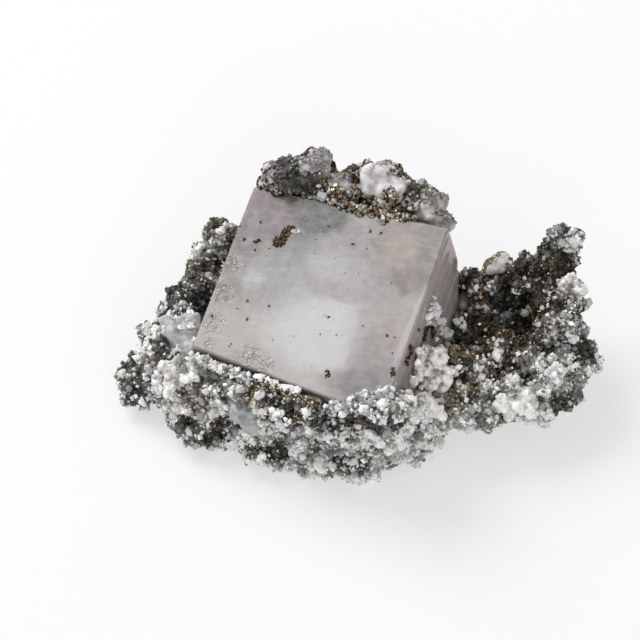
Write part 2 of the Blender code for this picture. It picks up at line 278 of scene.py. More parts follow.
# %% [markdown]
# Between its knobs the rock has deep places that the crystals bridged over. Sculpting could sink them, but
# a list of soft ovals is easy to change. Each has a middle and half sizes in millimetres, and the skin
# inside it sinks along its own normals.

# %% Sink the crevices
CREVICES = (  # middle, half sizes
    ((-8.0, -22.5, 20.5), (2.8, 2.0, 2.0)), ((-4.0, -25.0, 18.5), (3.6, 2.2, 2.0)),
    ((2.5, -24.5, 19.5), (3.0, 2.2, 1.8)), ((6.5, -28.0, 23.0), (4.2, 2.6, 2.0)),
    ((13.5, -29.0, 24.5), (4.6, 2.6, 2.0)), ((-8.0, -24.5, 7.0), (3.0, 3.0, 1.8)),
    ((5.0, -27.5, 7.0), (3.6, 3.0, 1.6)), ((-22.0, -21.0, 5.5), (3.0, 3.0, 1.6)),
    ((40.0, 6.5, 19.5), (4.2, 2.6, 4.0)), ((43.5, 8.5, 23.5), (3.2, 2.0, 3.0)),
    ((41.5, 0.5, 16.5), (3.0, 2.0, 3.2)), ((-24.0, 8.0, 15.0), (2.2, 3.6, 4.0)),
    ((27.0, -2.0, 17.0), (1.8, 4.0, 4.0)), ((30.0, -11.5, 17.5), (1.4, 2.2, 3.0)),
)
CREVICE_DEPTH = 1.5 * MM
CREVICE_RIM = 1.5  # where a crevice ends, in half sizes from its middle


def hollowness(points):
    """How deep in a crevice each point is, 0 to 1."""
    deepest = np.zeros(len(points))
    for middle, half_sizes in CREVICES:
        reach = np.linalg.norm((points - np.array(at(*middle))) / (np.array(half_sizes) * MM), axis=1)
        deepest = np.maximum(deepest, np.clip(CREVICE_RIM - reach, 0, 1))
    return deepest


skin = corners(rock)
CREVICE = hollowness(skin)
skin -= corners(rock, normals=True) * (CREVICE_DEPTH * CREVICE)[:, None]
skin[:, 2] = np.maximum(skin[:, 2], 0)
rock.data.vertices.foreach_set("co", skin.ravel())
rock.data.update()
SKIN_HEIGHT = ((skin - plain_skin) * plain_normals).sum(axis=1)
HEIGHT_MIDDLE = np.median(SKIN_HEIGHT)
print("heights over the plain skin in mm:", np.round(np.percentile(SKIN_HEIGHT, (1, 50, 99)) / MM, 2))

# %% [markdown]
# ## Which mineral grows where
# The rock changes from place to place: dark druse on the left tip and the rear crest, brassy pyrite along
# the cube's edges, white calcite by the cube, brown crust inside the arm. Painting weights by hand would do
# it once. Soft balls in space, each with its own mix of minerals, can be read and moved. A point takes its
# mix from the zones near it, and a noise pattern breaks the mix into patches.

# %% Describe the zones
MINERALS = ("quartz", "calcite", "pyrite", "dark", "brown")
ZONES = (
    # place and radius in mm, then percents of quartz, calcite, pyrite, dark druse and brown crust
    (-22, 24, 22, 5, 25, 0, 30, 35, 10),
    (-22, 20, 22, 3, 80, 5, 5, 10, 0),
    (-22, 17, 18, 4, 32, 5, 15, 43, 5),
    (-27, 14, 16, 5, 12, 2, 6, 80, 0),
    (-24, 9, 17, 2, 15, 85, 0, 0, 0),
    (-31, 12, 13, 4, 3, 0, 2, 95, 0),
    (-29, 6, 15, 2, 10, 90, 0, 0, 0),
    (-29, 10, 15, 2, 0, 0, 5, 95, 0),
    (-33, 8, 11, 3, 5, 0, 0, 95, 0),
    (-35, 8, 10, 5, 10, 5, 0, 85, 0),
    (-35, 0, 14, 3, 15, 70, 0, 15, 0),
    (-33, -8, 13, 5, 22, 38, 5, 35, 0),
    (-39, -6, 8, 6, 12, 0, 0, 88, 0),
    (-32, -11, 9, 3, 20, 75, 0, 5, 0),
    (-26, -15, 12, 5, 30, 25, 25, 20, 0),
    (-22, -9, 20, 5, 20, 75, 0, 5, 0),
    (-21, -17, 13, 5, 55, 5, 12, 28, 0),
    (-13, -19, 22, 3, 20, 5, 65, 10, 0),
    (-7, -20, 22, 3, 75, 15, 5, 5, 0),
    (-2, -20, 22, 4, 50, 15, 32, 3, 0),
    (-5, -22, 12, 5, 30, 69, 1, 0, 0),
    (-14, -22, 7, 5, 40, 50, 5, 5, 0),
    (-1, -26, 8, 7, 42, 56, 2, 0, 0),
    (4, -27, 16, 4, 34, 52, 2, 12, 0),
    (9, -24, 27, 3, 65, 25, 5, 5, 0),
    (7, -26, 26, 2, 10, 0, 60, 10, 20),
    (13, -26, 26, 5, 70, 22, 2, 6, 0),
    (10, -28, 12, 5, 38, 32, 5, 25, 0),
    (17, -26, 13, 5, 55, 35, 2, 8, 0),
    (20, -20, 20, 5, 30, 65, 5, 0, 0),
    (27, -21, 13, 4, 30, 50, 15, 5, 0),
    (28, -21, 7, 4, 15, 80, 0, 5, 0),
    (36, -20, 5, 4, 15, 80, 0, 5, 0),
    (34, -18, 11, 5, 66, 14, 12, 8, 0),
    (29, -8.5, 21, 4, 8, 4, 52, 0, 36),
    (32.6, -9.6, 19, 1.8, 5, 95, 0, 0, 0),
    (30.5, -12, 18, 2, 5, 95, 0, 0, 0),
    (30, -15, 16, 4, 45, 10, 30, 15, 0),
    (35, -15, 16, 4, 70, 8, 10, 12, 0),
    (38, -13, 17, 2, 40, 0, 0, 60, 0),
    (36, 3, 18, 6, 2, 0, 8, 15, 75),
    (34, 5, 18, 2, 80, 0, 0, 20, 0),
    (39, 4, 17, 2, 85, 0, 0, 15, 0),
    (37, -6, 17, 5, 2, 0, 18, 5, 75),
    (44, -2, 19, 5, 4, 0, 16, 5, 75),
    (46, 5, 22, 6, 8, 0, 14, 8, 70),
    (41, 10, 25, 5, 10, 0, 15, 10, 65),
    (38, 9, 27, 2, 75, 20, 0, 5, 0),
    (38, -9, 17, 3, 3, 0, 32, 5, 60),
    (41, -12, 17, 2.6, 40, 60, 0, 0, 0),
    (46, -11, 17, 4, 45, 45, 5, 5, 0),
    (44, -19, 13, 4, 20, 80, 0, 0, 0),
    (49, -2, 20, 4, 75, 5, 0, 10, 10),
    (52, -7, 16, 4, 65, 20, 0, 10, 5),
    (52.5, -3, 17.5, 2.4, 2, 0, 13, 15, 70),
    (55, -6, 16.5, 2, 8, 0, 12, 30, 50),
    (57, -8, 15, 3, 25, 5, 10, 60, 0),
    (52, -14, 12, 3, 10, 5, 10, 65, 10),
    (50, 16, 29, 4, 70, 4, 0, 26, 0),
    (53, 15, 28, 3, 45, 5, 0, 50, 0),
    (51.4, 13, 27.5, 2.2, 10, 90, 0, 0, 0),
    (47.5, 11, 23.5, 4, 0, 0, 14, 16, 70),
    (53, 5, 23, 2, 20, 80, 0, 0, 0),
    (48, 6, 23, 4, 3, 0, 17, 10, 70),
    (-5, 29, 33, 8, 5, 0, 2, 93, 0),
    (6, 23, 33, 5, 25, 0, 60, 15, 0),
    (14, 20, 33, 6, 10, 0, 55, 15, 20),
    (24, 19, 33, 4, 10, 0, 15, 75, 0),
)
ELSEWHERE = np.array((0.35, 0.12, 0.12, 0.28, 0.13)) * 0.03  # the faint mix that holds far from every zone
PATCH_SIZE = 3.0 * MM
PATCH_CONTRAST = 3.4
HEIGHT_SHADE_PULL = np.array((0.5, 1.2, -0.3, -1.1, -0.9))  # painted shade: how each mineral's share shifts per mm of height
# dark druse put in the crevices as painted shade
DRUSE_AS_PAINTED_SHADE = 2


def patch_noise(points, seed):
    """A smooth random value at each point, about -1 to 1, different for each seed."""
    shift = Vector((seed * 7.3, seed * 3.1, seed * 5.7))
    return np.array([noise.noise(Vector(point) / PATCH_SIZE + shift) for point in points])


def mineral_mix(points, heights):
    """Shares of the five minerals at each point, each row adding up to 1."""
    shares = np.tile(ELSEWHERE, (len(points), 1))
    for x, y, z, radius, *percents in ZONES:
        distance = np.linalg.norm(points - np.array(at(x, y, z)), axis=1)
        shares += np.exp(-((distance / (radius * MM)) ** 2))[:, None] * (np.array(percents) / 100)
    shares /= shares.sum(axis=1)[:, None]
    for column in range(len(MINERALS)):
        # Painted shade: by height, dark minerals gather in the hollows and pale ones on the knobs.
        shares[:, column] *= np.exp(PATCH_CONTRAST * patch_noise(points, column)
                                    + HEIGHT_SHADE_PULL[column] * (heights - HEIGHT_MIDDLE) / MM)
    # Dark druse fills the crevices as painted shade.
    shares[:, MINERALS.index("dark")] += DRUSE_AS_PAINTED_SHADE * hollowness(points)
    return shares / shares.sum(axis=1)[:, None]


print("zones:", len(ZONES))

# %% [markdown]
# ## Helpers for finishes
# Mineral surfaces are never one flat colour. A finish here is a small tree of shader nodes, and most need the
# same few things: noise of a given size, its values turned into a shade or a roughness, and a fine bump. They
# could be built node by node each time, but a helper for each keeps the finishes short.

# %% Build shader nodes
def node(tree, kind, **settings):
    """A shader node; each setting is one of its properties or goes to an input."""
    made = tree.nodes.new(kind)
    for name, value in settings.items():
        if hasattr(made, name):
            setattr(made, name, value)
        else:
            plug(tree, made, **{name: value})
    return made


def sums(tree, operation, *values, kind="ShaderNodeMath"):
    """One step of arithmetic on numbers, or on vectors with the vector kind of node."""
    made = node(tree, kind, operation=operation)
    for socket, value in zip(made.inputs, values):
        put(tree, socket, value)
    return made.outputs[0]


def scaled(tree, vector, factor):
    made = node(tree, "ShaderNodeVectorMath", operation="SCALE", Vector=vector, Scale=factor)
    return made.outputs["Vector"]


def tinted(tree, shade):
    """The color attribute of the mesh, made darker or lighter."""
    tint = node(tree, "ShaderNodeAttribute", attribute_name="tint").outputs["Color"]
    return scaled(tree, tint, shade)


def remap(tree, value, low, high, to_low=0.0, to_high=1.0, curve="LINEAR"):
    """Turn the range from low to high into another range."""
    made = node(tree, "ShaderNodeMapRange", interpolation_type=curve, Value=value, From_Min=low,
                From_Max=high, To_Min=to_low, To_Max=to_high)
    return made.outputs["Result"]


def speckled(tree, coords, size, detail=3.0, output="Fac"):
    """Plain noise with features of a given size."""
    return node(tree, "ShaderNodeTexNoise", Scale=1 / size, Detail=detail, Vector=coords).outputs[output]


def roughen(tree, shader, coords, size, detail, strength, depth):
    """A fine bump, its depth in mm."""
    grit = speckled(tree, coords, size, detail)
    bump = node(tree, "ShaderNodeBump", Strength=strength, Distance=depth * MM, Height=grit)
    plug(tree, shader, Normal=bump.outputs["Normal"])


print("helpers:", [helper.__name__ for helper in (node, sums, scaled, tinted, remap, speckled, roughen)])

# %% [markdown]
# ## The rock's colour
# Between the grains the bare rock shows, greenish grey, white, brassy or nearly black by its minerals. An
# image could colour it, but it would have to be unwrapped round every knob. So each corner of the skin gets
# the colour of its own mineral mix as a color attribute, with painted shade: darker in the hollows and the
# crevices, lighter on the knobs. The material adds a fine speckle of lighter, darker and glossier cells.

# %% Colour the skin and make its finish
BODY_COLOURS = np.array([(0.17, 0.165, 0.14), (0.58, 0.57, 0.545), (0.10, 0.075, 0.045),
                         (0.028, 0.027, 0.026), (0.036, 0.026, 0.018)])  # in the order of MINERALS
CELL_SIZE = 0.55 * MM
GRIT_SIZE = 0.35 * MM
MIDDLE_PAINTED_SHADE = 0.72
PAINTED_SHADE_PER_MM = 0.6  # painted shade: how much lighter the skin is a millimetre further out
PAINTED_SHADE_LIMITS = (0.12, 1.25)
CREVICE_PAINTED_SHADE = 0.75


def paint(obj, colours):
    layer = obj.data.color_attributes.new("tint", "FLOAT_COLOR", "POINT")
    rgba = np.ones((len(colours), 4), np.float32)
    rgba[:, :3] = colours
    layer.data.foreach_set("color", rgba.ravel())


def rock_finish():
    made, tree, shader = material("rock")
    coords = node(tree, "ShaderNodeTexCoord").outputs["Object"]
    cells = node(tree, "ShaderNodeTexVoronoi", Scale=1 / CELL_SIZE, Vector=coords).outputs["Color"]
    plug(tree, shader, Base_Color=tinted(tree, remap(tree, cells, 0, 1, 0.55, 1.45)),
         Roughness=remap(tree, cells, 0, 1, 0.25, 0.75))
    roughen(tree, shader, coords, GRIT_SIZE, 3.0, 0.6, 0.15)
    return made


# Painted shade: the skin is darker in the hollows, lighter on the knobs and darkest in the crevices.
shade = np.clip(MIDDLE_PAINTED_SHADE + PAINTED_SHADE_PER_MM * (SKIN_HEIGHT - HEIGHT_MIDDLE) / MM, *PAINTED_SHADE_LIMITS)
shade *= 1 - CREVICE_PAINTED_SHADE * CREVICE
paint(rock, mineral_mix(corners(rock), SKIN_HEIGHT) @ BODY_COLOURS * shade[:, None])
dress(rock, "rock", rock_finish(), "matrix")

# %% [markdown]
# ## The fluorite cube
# The cube is the heart of the specimen, with straight edges and almost flat faces. It starts as its solid,
# laid out along its own face so that places on it are easy to give. A remesh would round its edges, so we
# slice the flat faces into small cells with bisecting planes instead. That keeps the edges sharp and gives
# the faces enough points to carry etching and growth lines.

# %% Slice the cube's faces into cells
FINE_CELL = 0.4 * MM
WIDE_CELL = 1.0 * MM


def slice_faces(mesh, chosen, axis, spacing):
    """Cut the chosen faces by planes across one axis."""
    reach = [vert.co[axis] for vert in mesh.verts]
    normal = Vector((0, 0, 0))
    normal[axis] = 1
    steps = range(math.ceil(min(reach) / spacing), math.floor(max(reach) / spacing) + 1)
    for step in steps:
        faces = [face for face in mesh.faces if chosen(face)]
        geometry = set(faces)
        for face in faces:
            geometry.update(face.edges)
            geometry.update(face.verts)
        bmesh.ops.bisect_plane(mesh, geom=list(geometry), plane_co=normal * spacing * step, plane_no=normal,
                               dist=SAME_PLACE)


def is_top(face):
    return face.normal.z > 0.99 and face.calc_center_median().z > -0.1 * MM


cube = welded_copy("fluorite_cube", "fluorite_crystal")
cube.data.transform(FACE.inverted())
mesh = bmesh.new()
mesh.from_mesh(cube.data)
mesh.normal_update()
for axis in (0, 1):
    slice_faces(mesh, is_top, axis, FINE_CELL)
for axis, spacing in ((0, WIDE_CELL), (1, WIDE_CELL), (2, FINE_CELL)):
    slice_faces(mesh, lambda face: abs(face.normal.z) < 0.1 and abs(face.normal[axis]) < 0.5, axis, spacing)
print("cube cells:", len(mesh.faces))

# %% [markdown]
# Acid water has bitten the face: it is very slightly wavy, and along its left edge there are patches of
# shallow pits with ragged borders. The right side carries fine level growth lines. A bump in the material
# would vanish in the finished mesh, so we move the cells' points in and out by noise, and fade the relief
# out at the rim so the crystal's outline stays straight. The steps of the right side are worn, so its
# points are smoothed across.

# %% Etch the face and draw the growth lines
ETCHED_PATCHES = (  # middle and radius in mm on the face
    (-20.6, 3.0, 2.4), (-19.6, -3.4, 2.8), (-19.0, -10.6, 2.8), (-9.0, -15.5, 2.4), (-5.0, -17.0, 2.0),
    (-18.5, -15.0, 1.6),
)
PIT_DEPTH = 0.13 * MM
PIT_START = 0.28  # how strong the etching is where pits begin
PIT_STEEPNESS = 5
BROAD_WAVE = 0.05 * MM
FINE_WAVE = 0.012 * MM
GROWTH_LINE = 0.007 * MM
PLAIN_RIM, RIM_FADE = 0.3, 1.2  # mm along the rim without relief, and in which the relief starts
ON_PLANE = 0.05 * MM  # a point this close to a face lies on it
WORN_FROM = 0.3 * MM  # the right side is smoothed from this far below the face
SMOOTHING_ROUNDS = 5


def wave(point, size, seed):
    return noise.noise(point / (size * MM) + Vector((seed, seed * 2, seed * 3)))


def etched(x, y):
    """How strongly a place on the face is etched, 0 to 1. Places in mm."""
    return max(math.exp(-(((x - px) ** 2 + (y - py) ** 2) / radius ** 2))
               for px, py, radius in ETCHED_PATCHES)


for vert in mesh.verts:
    point = vert.co.copy()
    if point.z > -ON_PLANE:
        inwards = min(HALF_CUBE - abs(point.x), HALF_CUBE - abs(point.y)) / MM
        fade = min(1.0, max(0.0, inwards - PLAIN_RIM) / RIM_FADE)
        ripple = BROAD_WAVE * wave(point, 7, 1) + FINE_WAVE * wave(point, 1.6, 2)
        bite = etched(point.x / MM, point.y / MM) * (0.5 + wave(point, 0.9, 3)) - PIT_START
        vert.co.z += fade * (ripple - PIT_DEPTH * min(1.0, max(0.0, bite * PIT_STEEPNESS)))
    if point.x > HALF_CUBE - ON_PLANE:
        vert.co.x += GROWTH_LINE * wave(Vector((0, point.y * 0.06, point.z)), 0.8, 5)
worn_side = [vert for vert in mesh.verts if vert.co.x > HALF_CUBE - ON_PLANE and vert.co.z < -WORN_FROM]
for _ in range(SMOOTHING_ROUNDS):
    bmesh.ops.smooth_vert(mesh, verts=worn_side, factor=0.5, use_axis_x=True)
mesh.to_mesh(cube.data)
mesh.free()
face_places = cube.data.attributes.new("face_place", "FLOAT_VECTOR", "POINT")
face_places.data.foreach_set("vector", (corners(cube) / MM).ravel())
cube.data.transform(FACE)
print("points on the worn side:", len(worn_side))

# %% [markdown]
# ## The fluorite's clouding
# This fluorite is clouded inside, in zones that follow the crystal's growth: a lavender corner, a blue-grey
# patch, a pale cloud with a sharp right side, a mauve wedge. Painting them would fix them at one sharpness.
# A chain of masks can be moved and softened one by one, each laid over the ones before. Most are ovals
# whose distance is bent by noise. The few with hard borders are boxes along the crystal's planes.

# %% Lay out the colour zones
LAVENDER = (0.178, 0.120, 0.124)
ROSE_MIST = (0.355, 0.315, 0.310)
MIST = (0.395, 0.390, 0.380)
CLOUD = (0.76, 0.76, 0.75)
BLUE_GREY = (0.075, 0.078, 0.078)
MAUVE = (0.25, 0.205, 0.20)
BEIGE = (0.50, 0.41, 0.35)
PINK_WHITE = (0.58, 0.515, 0.50)
FACE_ZONES = (
    # colour, centre in mm on the face, half sizes in mm, turn in degrees, softness and strength
    (ROSE_MIST, (0, 0), (30, 30), 0, 1.0, 0.5),
    (BLUE_GREY, (-5.5, 18.8), (6.5, 4.8), -12, 0.6, 0.90),
    (BLUE_GREY, (-9.0, 12.0), (4.0, 6.5), -12, 0.9, 0.50),
    (LAVENDER, (-18.5, 15.5), (8.8, 9.8), 0, 0.20, 0.72),
    (LAVENDER, (-14.0, 21.0), (6.6, 4.2), 0, 0.20, 0.60),
    (LAVENDER, (-17.5, 18.0), (6.0, 4.0), 35, 1.0, 0.40),
    (MIST, (-8.0, 3.0), (10, 8), 0, 0.9, 0.5),
    (LAVENDER, (-20.5, 1.0), (4.0, 13), 0, 0.9, 0.35),
    (PINK_WHITE, (-15.0, -11.0), (8, 6), 0, 0.9, 0.6),
    (CLOUD, (2.5, 6.5), (7, 4.5), -20, 1.0, 0.30),
    (CLOUD, (4.0, -7.5), (12, 9.5), 8, 0.9, 0.80),
    (CLOUD, (-14.2, 1.4), (2.4, 1.9), 0, 1.0, 0.38),
    (ROSE_MIST, (4.5, 2.4), (7.5, 2.0), -4, 0.6, 0.50),
    (ROSE_MIST, (18.6, -8.5), (8.0, 9.0), 4, 0.12, 0.34),
    (ROSE_MIST, (17.0, -5.0), (7.0, 11.0), 4, 0.9, 0.45),
    (PINK_WHITE, (19.0, -1.0), (6.0, 8.0), 20, 0.8, 0.5),
    (MAUVE, (17.5, 15.8), (8.0, 8.0), 45, 0.10, 0.58),
    # a thin band of CLOUD along the right edge, a painted highlight where the edge catches the light
    (CLOUD, (21.0, -1.0), (0.6, 10.0), -3, 0.28, 0.30),
    (MAUVE, (17.6, 8.4), (4.2, 3.4), 0, 0.9, 0.45),
    (BEIGE, (13.6, 15.0), (3.8, 5.0), 20, 1.0, 0.65),
    (LAVENDER, (15.5, -10.0), (4.0, 9), -8, 0.7, 0.22),
    (BLUE_GREY, (13.5, -16.5), (6.5, 3.4), 20, 0.9, 0.36),
    (PINK_WHITE, (4.5, -19.6), (8, 2.4), -12, 0.8, 0.7),
)
SHARP = 0.15  # a zone less soft than this is a box that follows the crystal's planes
STRAIGHT = 0.3  # a zone less soft than this is bent less by the noise
ALL_DEPTHS = 40  # a zone's half size into the crystal, in mm


def blend_colours(tree, amount, first, second):
    made = node(tree, "ShaderNodeMix", data_type="RGBA", blend_type="MIX")
    for socket, value in ((made.inputs[0], amount), (made.inputs[6], first), (made.inputs[7], second)):
        put(tree, socket, value)
    return made.outputs[2]


def warped(tree, coords, size, amount):
    wobble = speckled(tree, coords, size, 2.0, "Color")
    centred = sums(tree, "SUBTRACT", wobble, (0.5, 0.5, 0.5), kind="ShaderNodeVectorMath")
    return sums(tree, "ADD", coords, scaled(tree, centred, amount), kind="ShaderNodeVectorMath")


def mapped(tree, coords, **values):
    return node(tree, "ShaderNodeMapping", Vector=coords, **values).outputs["Vector"]


def zone_mask(tree, coords, centre, half_sizes, turn, softness):
    """1 inside an oval, or inside a box if the border is sharp, and 0 outside."""
    place = mapped(tree, coords, vector_type="TEXTURE", Location=(*centre, 0),
                   Rotation=(0, 0, math.radians(turn)), Scale=(*half_sizes, ALL_DEPTHS))
    if softness < SHARP:
        parts = node(tree, "ShaderNodeSeparateXYZ", Vector=place).outputs
        distance = sums(tree, "MAXIMUM", *(sums(tree, "ABSOLUTE", parts[axis]) for axis in ("X", "Y")))
    else:
        distance = node(tree, "ShaderNodeVectorMath", operation="LENGTH", Vector=place).outputs["Value"]
    return remap(tree, distance, 1 - softness / 2, 1 + softness / 2, 1, 0, "SMOOTHSTEP")


def clouded_colour(tree, flat, bent):
    straighter = warped(tree, flat, 5.0, 1.6)
    colour = MIST
    for tint, centre, half_sizes, turn, softness, strength in FACE_ZONES:
        coords = straighter if softness < STRAIGHT else bent
        mask = zone_mask(tree, coords, centre, half_sizes, turn, softness)
        colour = blend_colours(tree, sums(tree, "MULTIPLY", mask, strength), colour, tint)
    return colour


print("colour zones on the face:", len(FACE_ZONES))

# %% [markdown]
# ## The fluorite's finish
# Fluorite is clear, with a low refractive index of 1.434. With its clouding it is part transmission and
# part pale body colour, and its faces are frosted. Absorption in its volume deepens the thick parts. Haze
# and slanting streaks lie over the zones. The right side shows the edges of the growth layers in mauve,
# painted lighter than the face as painted light that the crystal carries into its shaded side, paler still
# near the face and darker towards the foot, as painted light and shade.

# %% Make the fluorite's finish
HAZE = (0.8, 0.79, 0.78)
# The side's colours are painted lighter than the face's, as painted light the crystal carries into its shaded
# side; the palest, used near the face, is painted light too.
SIDE_PAINTED_LIGHT = (0.67, 0.60, 0.58)
SIDE_MAUVE = (0.55, 0.465, 0.445)
SIDE_SHADE = (0.40, 0.345, 0.33)
STREAK = (0.86, 0.82, 0.80)
STREAK_TURN = math.radians(38)
SIDE_STARTS = (20.9, 21.2)  # mm across the face between which the side's colour sets in
SIDE_TOP = (-0.6, -0.25)  # and in height
FLUORITE_IOR = 1.434
THICKNESS_TINT = (0.74, 0.66, 0.76)
THICKNESS_DENSITY = 30


def side_colour(tree, flat, depth):
    """Growth layers on edge: fine level lines, painted lighter near the face and darker towards the foot as
    light and shade.
    """
    layers = speckled(tree, mapped(tree, flat, Scale=(0.04, 0.05, 1.1)), 1.0)
    shade = remap(tree, speckled(tree, flat, 5.0), 0.35, 0.65)
    deep = blend_colours(tree, shade, SIDE_SHADE, SIDE_MAUVE)
    # Painted light near the face, fading to painted shade towards the foot.
    deep = blend_colours(tree, remap(tree, depth, -10, -1, 0, 0.75), deep, SIDE_PAINTED_LIGHT)
    return blend_colours(tree, remap(tree, layers, 0.58, 0.68, 0, 0.45), deep, STREAK)


def fluorite_finish():
    made, tree, shader = material("fluorite", IOR=FLUORITE_IOR, Transmission_Weight=0.35,
                                  Subsurface_Weight=0.5, Subsurface_Radius=(0.004, 0.0036, 0.0036),
                                  Subsurface_Scale=1.0)
    flat = node(tree, "ShaderNodeAttribute", attribute_name="face_place").outputs["Vector"]
    bent = warped(tree, flat, 6.0, 4.0)
    colour = clouded_colour(tree, flat, bent)
    haze = remap(tree, speckled(tree, flat, 2.2, 5.0), 0.40, 0.75, 0, 0.22)
    colour = blend_colours(tree, haze, colour, HAZE)
    flow = mapped(tree, bent, Rotation=(0, 0, STREAK_TURN), Scale=(0.25, 1.6, 1))
    streaks = remap(tree, speckled(tree, flow, 1.5, 4.0), 0.52, 0.80, 0, 0.25)
    colour = blend_colours(tree, streaks, colour, HAZE)
    parts = node(tree, "ShaderNodeSeparateXYZ", Vector=flat).outputs
    on_side = sums(tree, "MULTIPLY", remap(tree, parts["X"], *SIDE_STARTS),
                   remap(tree, parts["Z"], *SIDE_TOP, 1, 0))
    colour = blend_colours(tree, sums(tree, "MULTIPLY", on_side, 0.85), colour,
                           side_colour(tree, flat, parts["Z"]))
    frost = speckled(tree, flat, 0.5, 4.0)
    plug(tree, shader, Base_Color=colour, Roughness=remap(tree, frost, 0.3, 0.7, 0.26, 0.42))
    roughen(tree, shader, flat, 0.35, 5.0, 0.25, 0.05)
    absorb = node(tree, "ShaderNodeVolumeAbsorption", Color=THICKNESS_TINT, Density=THICKNESS_DENSITY)
    plug(tree, tree.nodes["Material Output"], Volume=absorb.outputs["Volume"])
    return made


dress(cube, "fluorite", fluorite_finish(), "fluorite_cube")

# %% [markdown]
# ## White calcite
# Calcite grew late, in rounded snowy heaps among the other crystals. Modelling each blunt crystal would
# take long and look stacked. Each heap is its solid's skin instead, rebuilt finely and pushed out in small
# bumps, so it looks like many crystals fused together. The heap left of the cube and the flat one in front
# are older and greyer, with larger smooth faces.

# %% Make the calcite heaps
def millimetres(tree):
    """Object coordinates, in mm."""
    return scaled(tree, node(tree, "ShaderNodeTexCoord").outputs["Object"], 1 / MM)


def mottled_finish(name, colours, size, border, roughness, relief, **values):
    """Two colours in soft patches, a little rougher in the second, with a fine bump."""
    made, tree, shader = material(name, Subsurface_Weight=0.25, Subsurface_Scale=1.0, **values)
    coords = millimetres(tree)
    mottle = speckled(tree, coords, size, 4.0)
    plug(tree, shader, Base_Color=blend_colours(tree, remap(tree, mottle, *border), *colours),
         Roughness=remap(tree, mottle, 0.3, 0.7, *roughness))
    roughen(tree, shader, coords, *relief)
    return made


CALCITE = {"size": 1.6, "border": (0.44, 0.66), "roughness": (0.3, 0.55), "relief": (0.4, 4.0, 0.5, 0.12),
           "Subsurface_Radius": (0.0012, 0.0011, 0.001)}
white_calcite = mottled_finish("white_calcite", ((0.95, 0.94, 0.92), (0.50, 0.48, 0.45)), **CALCITE)
grey_calcite = mottled_finish("grey_calcite", ((0.50, 0.505, 0.50), (0.24, 0.25, 0.26)), **CALCITE)
stained_calcite = mottled_finish("stained_calcite", ((0.88, 0.86, 0.83), (0.24, 0.21, 0.185)), **CALCITE)
HEAP_FINISHES = {"left_calcite": grey_calcite, "front_calcite": grey_calcite,
                 "right_calcite": stained_calcite, "horn_calcite": stained_calcite}
# rounds of smoothing, then size and height in mm of the lumps, the bumps and the grit
FRESH_SHAPE = (45, (2.6, -2.4), (1.1, -0.8), (0.5, 0.3))
OLD_SHAPE = (20, (4.5, -1.8), (1.4, -0.4), (0.5, 0.12))
heaps = []
for name in filter(lambda name: name.endswith("calcite"), SOLIDS):
    finish = HEAP_FINISHES.get(name, white_calcite)
    rounds, lumps, bumps, grit = OLD_SHAPE if finish is grey_calcite else FRESH_SHAPE
    heap = welded_copy(name, f"{name}_heap")
    even_skin(heap, 0.3)
    soften(heap, rounds)
    raise_pattern(heap, "lumps", "VORONOI", *lumps, mid_level=0.55)
    raise_pattern(heap, "bumps", "VORONOI", *bumps)
    raise_pattern(heap, "grit", "CLOUDS", *grit)
    settle(heap)
    dress(heap, "calcite", finish, name)
    heaps.append(heap)

# %% [markdown]
# ## Small fluorites
# Behind the big cube, at its far corner, by its right side and on the arm there are small fluorites,
# rounded by solution and half covered by dark druse. They have the big crystal's colour, more even and a
# little deeper. They are made like the calcite heaps, but with larger and smoother knobs, since solution
# leaves no sharp crystals.

# %% Make the small fluorites
FLUORITE = {"size": 2.2, "border": (0.4, 0.62), "roughness": (0.18, 0.4), "relief": (0.5, 4.0, 0.4, 0.1),
            "IOR": FLUORITE_IOR, "Transmission_Weight": 0.2, "Subsurface_Radius": (0.002, 0.0019, 0.0021)}
lavender_fluorite = mottled_finish("lavender_fluorite", ((0.34, 0.295, 0.30), (0.80, 0.75, 0.75)), **FLUORITE)
milky_fluorite = mottled_finish("milky_fluorite", ((0.56, 0.52, 0.53), (0.97, 0.945, 0.95)), **FLUORITE)
mauve_fluorite = mottled_finish("mauve_fluorite", ((0.20, 0.155, 0.155), (0.34, 0.28, 0.28)), **FLUORITE)
grey_fluorite = mottled_finish("grey_fluorite", ((0.50, 0.485, 0.475), (0.88, 0.865, 0.85)), **FLUORITE)
SMALL_FINISHES = {"rear_fluorite_right": milky_fluorite, "side_fluorite": mauve_fluorite,
                  "arm_fluorite": grey_fluorite}
KNOB_SIZES = {"rear_fluorite_left": 2.7}
SWELLING = {"rear_fluorite_left": 0.95, "arm_fluorite": 0.4}  # how far the knobs bulge the skin out
for name in filter(lambda name: name.endswith("_fluorite") or name.startswith("rear_fluorite"), SOLIDS):
    crystal = welded_copy(name, f"{name}_crystals")
    even_skin(crystal, 0.32)
    soften(crystal, 40)
    raise_pattern(crystal, "knobs", "VORONOI", KNOB_SIZES.get(name, 3.4), -2.0,
                  mid_level=SWELLING.get(name, 0.7))
    soften(crystal, 6)
    settle(crystal)
    dress(crystal, "fluorite", SMALL_FINISHES.get(name, lavender_fluorite), name)
    heaps.append(crystal)

# %% [markdown]
# ## Growing the fine crystals
# Thousands of grains cover the rock. Real druse grows outwards from whatever surface it finds, so each
# grain stands on the skin, leans a little at random, and is sunk by a third of its height. A particle
# system could scatter them, but its copies aren't a mesh that can be handed on. So all the grains of one
# mineral are joined in one mesh, made from a small pattern crystal that numpy copies, turns and scales.

# %% Make the pattern crystals
def six_around(width, height):
    angles = np.radians(np.arange(0, 360, 60))
    return np.stack([np.cos(angles) * width / 2, np.sin(angles) * width / 2, np.full(6, height)], axis=1)


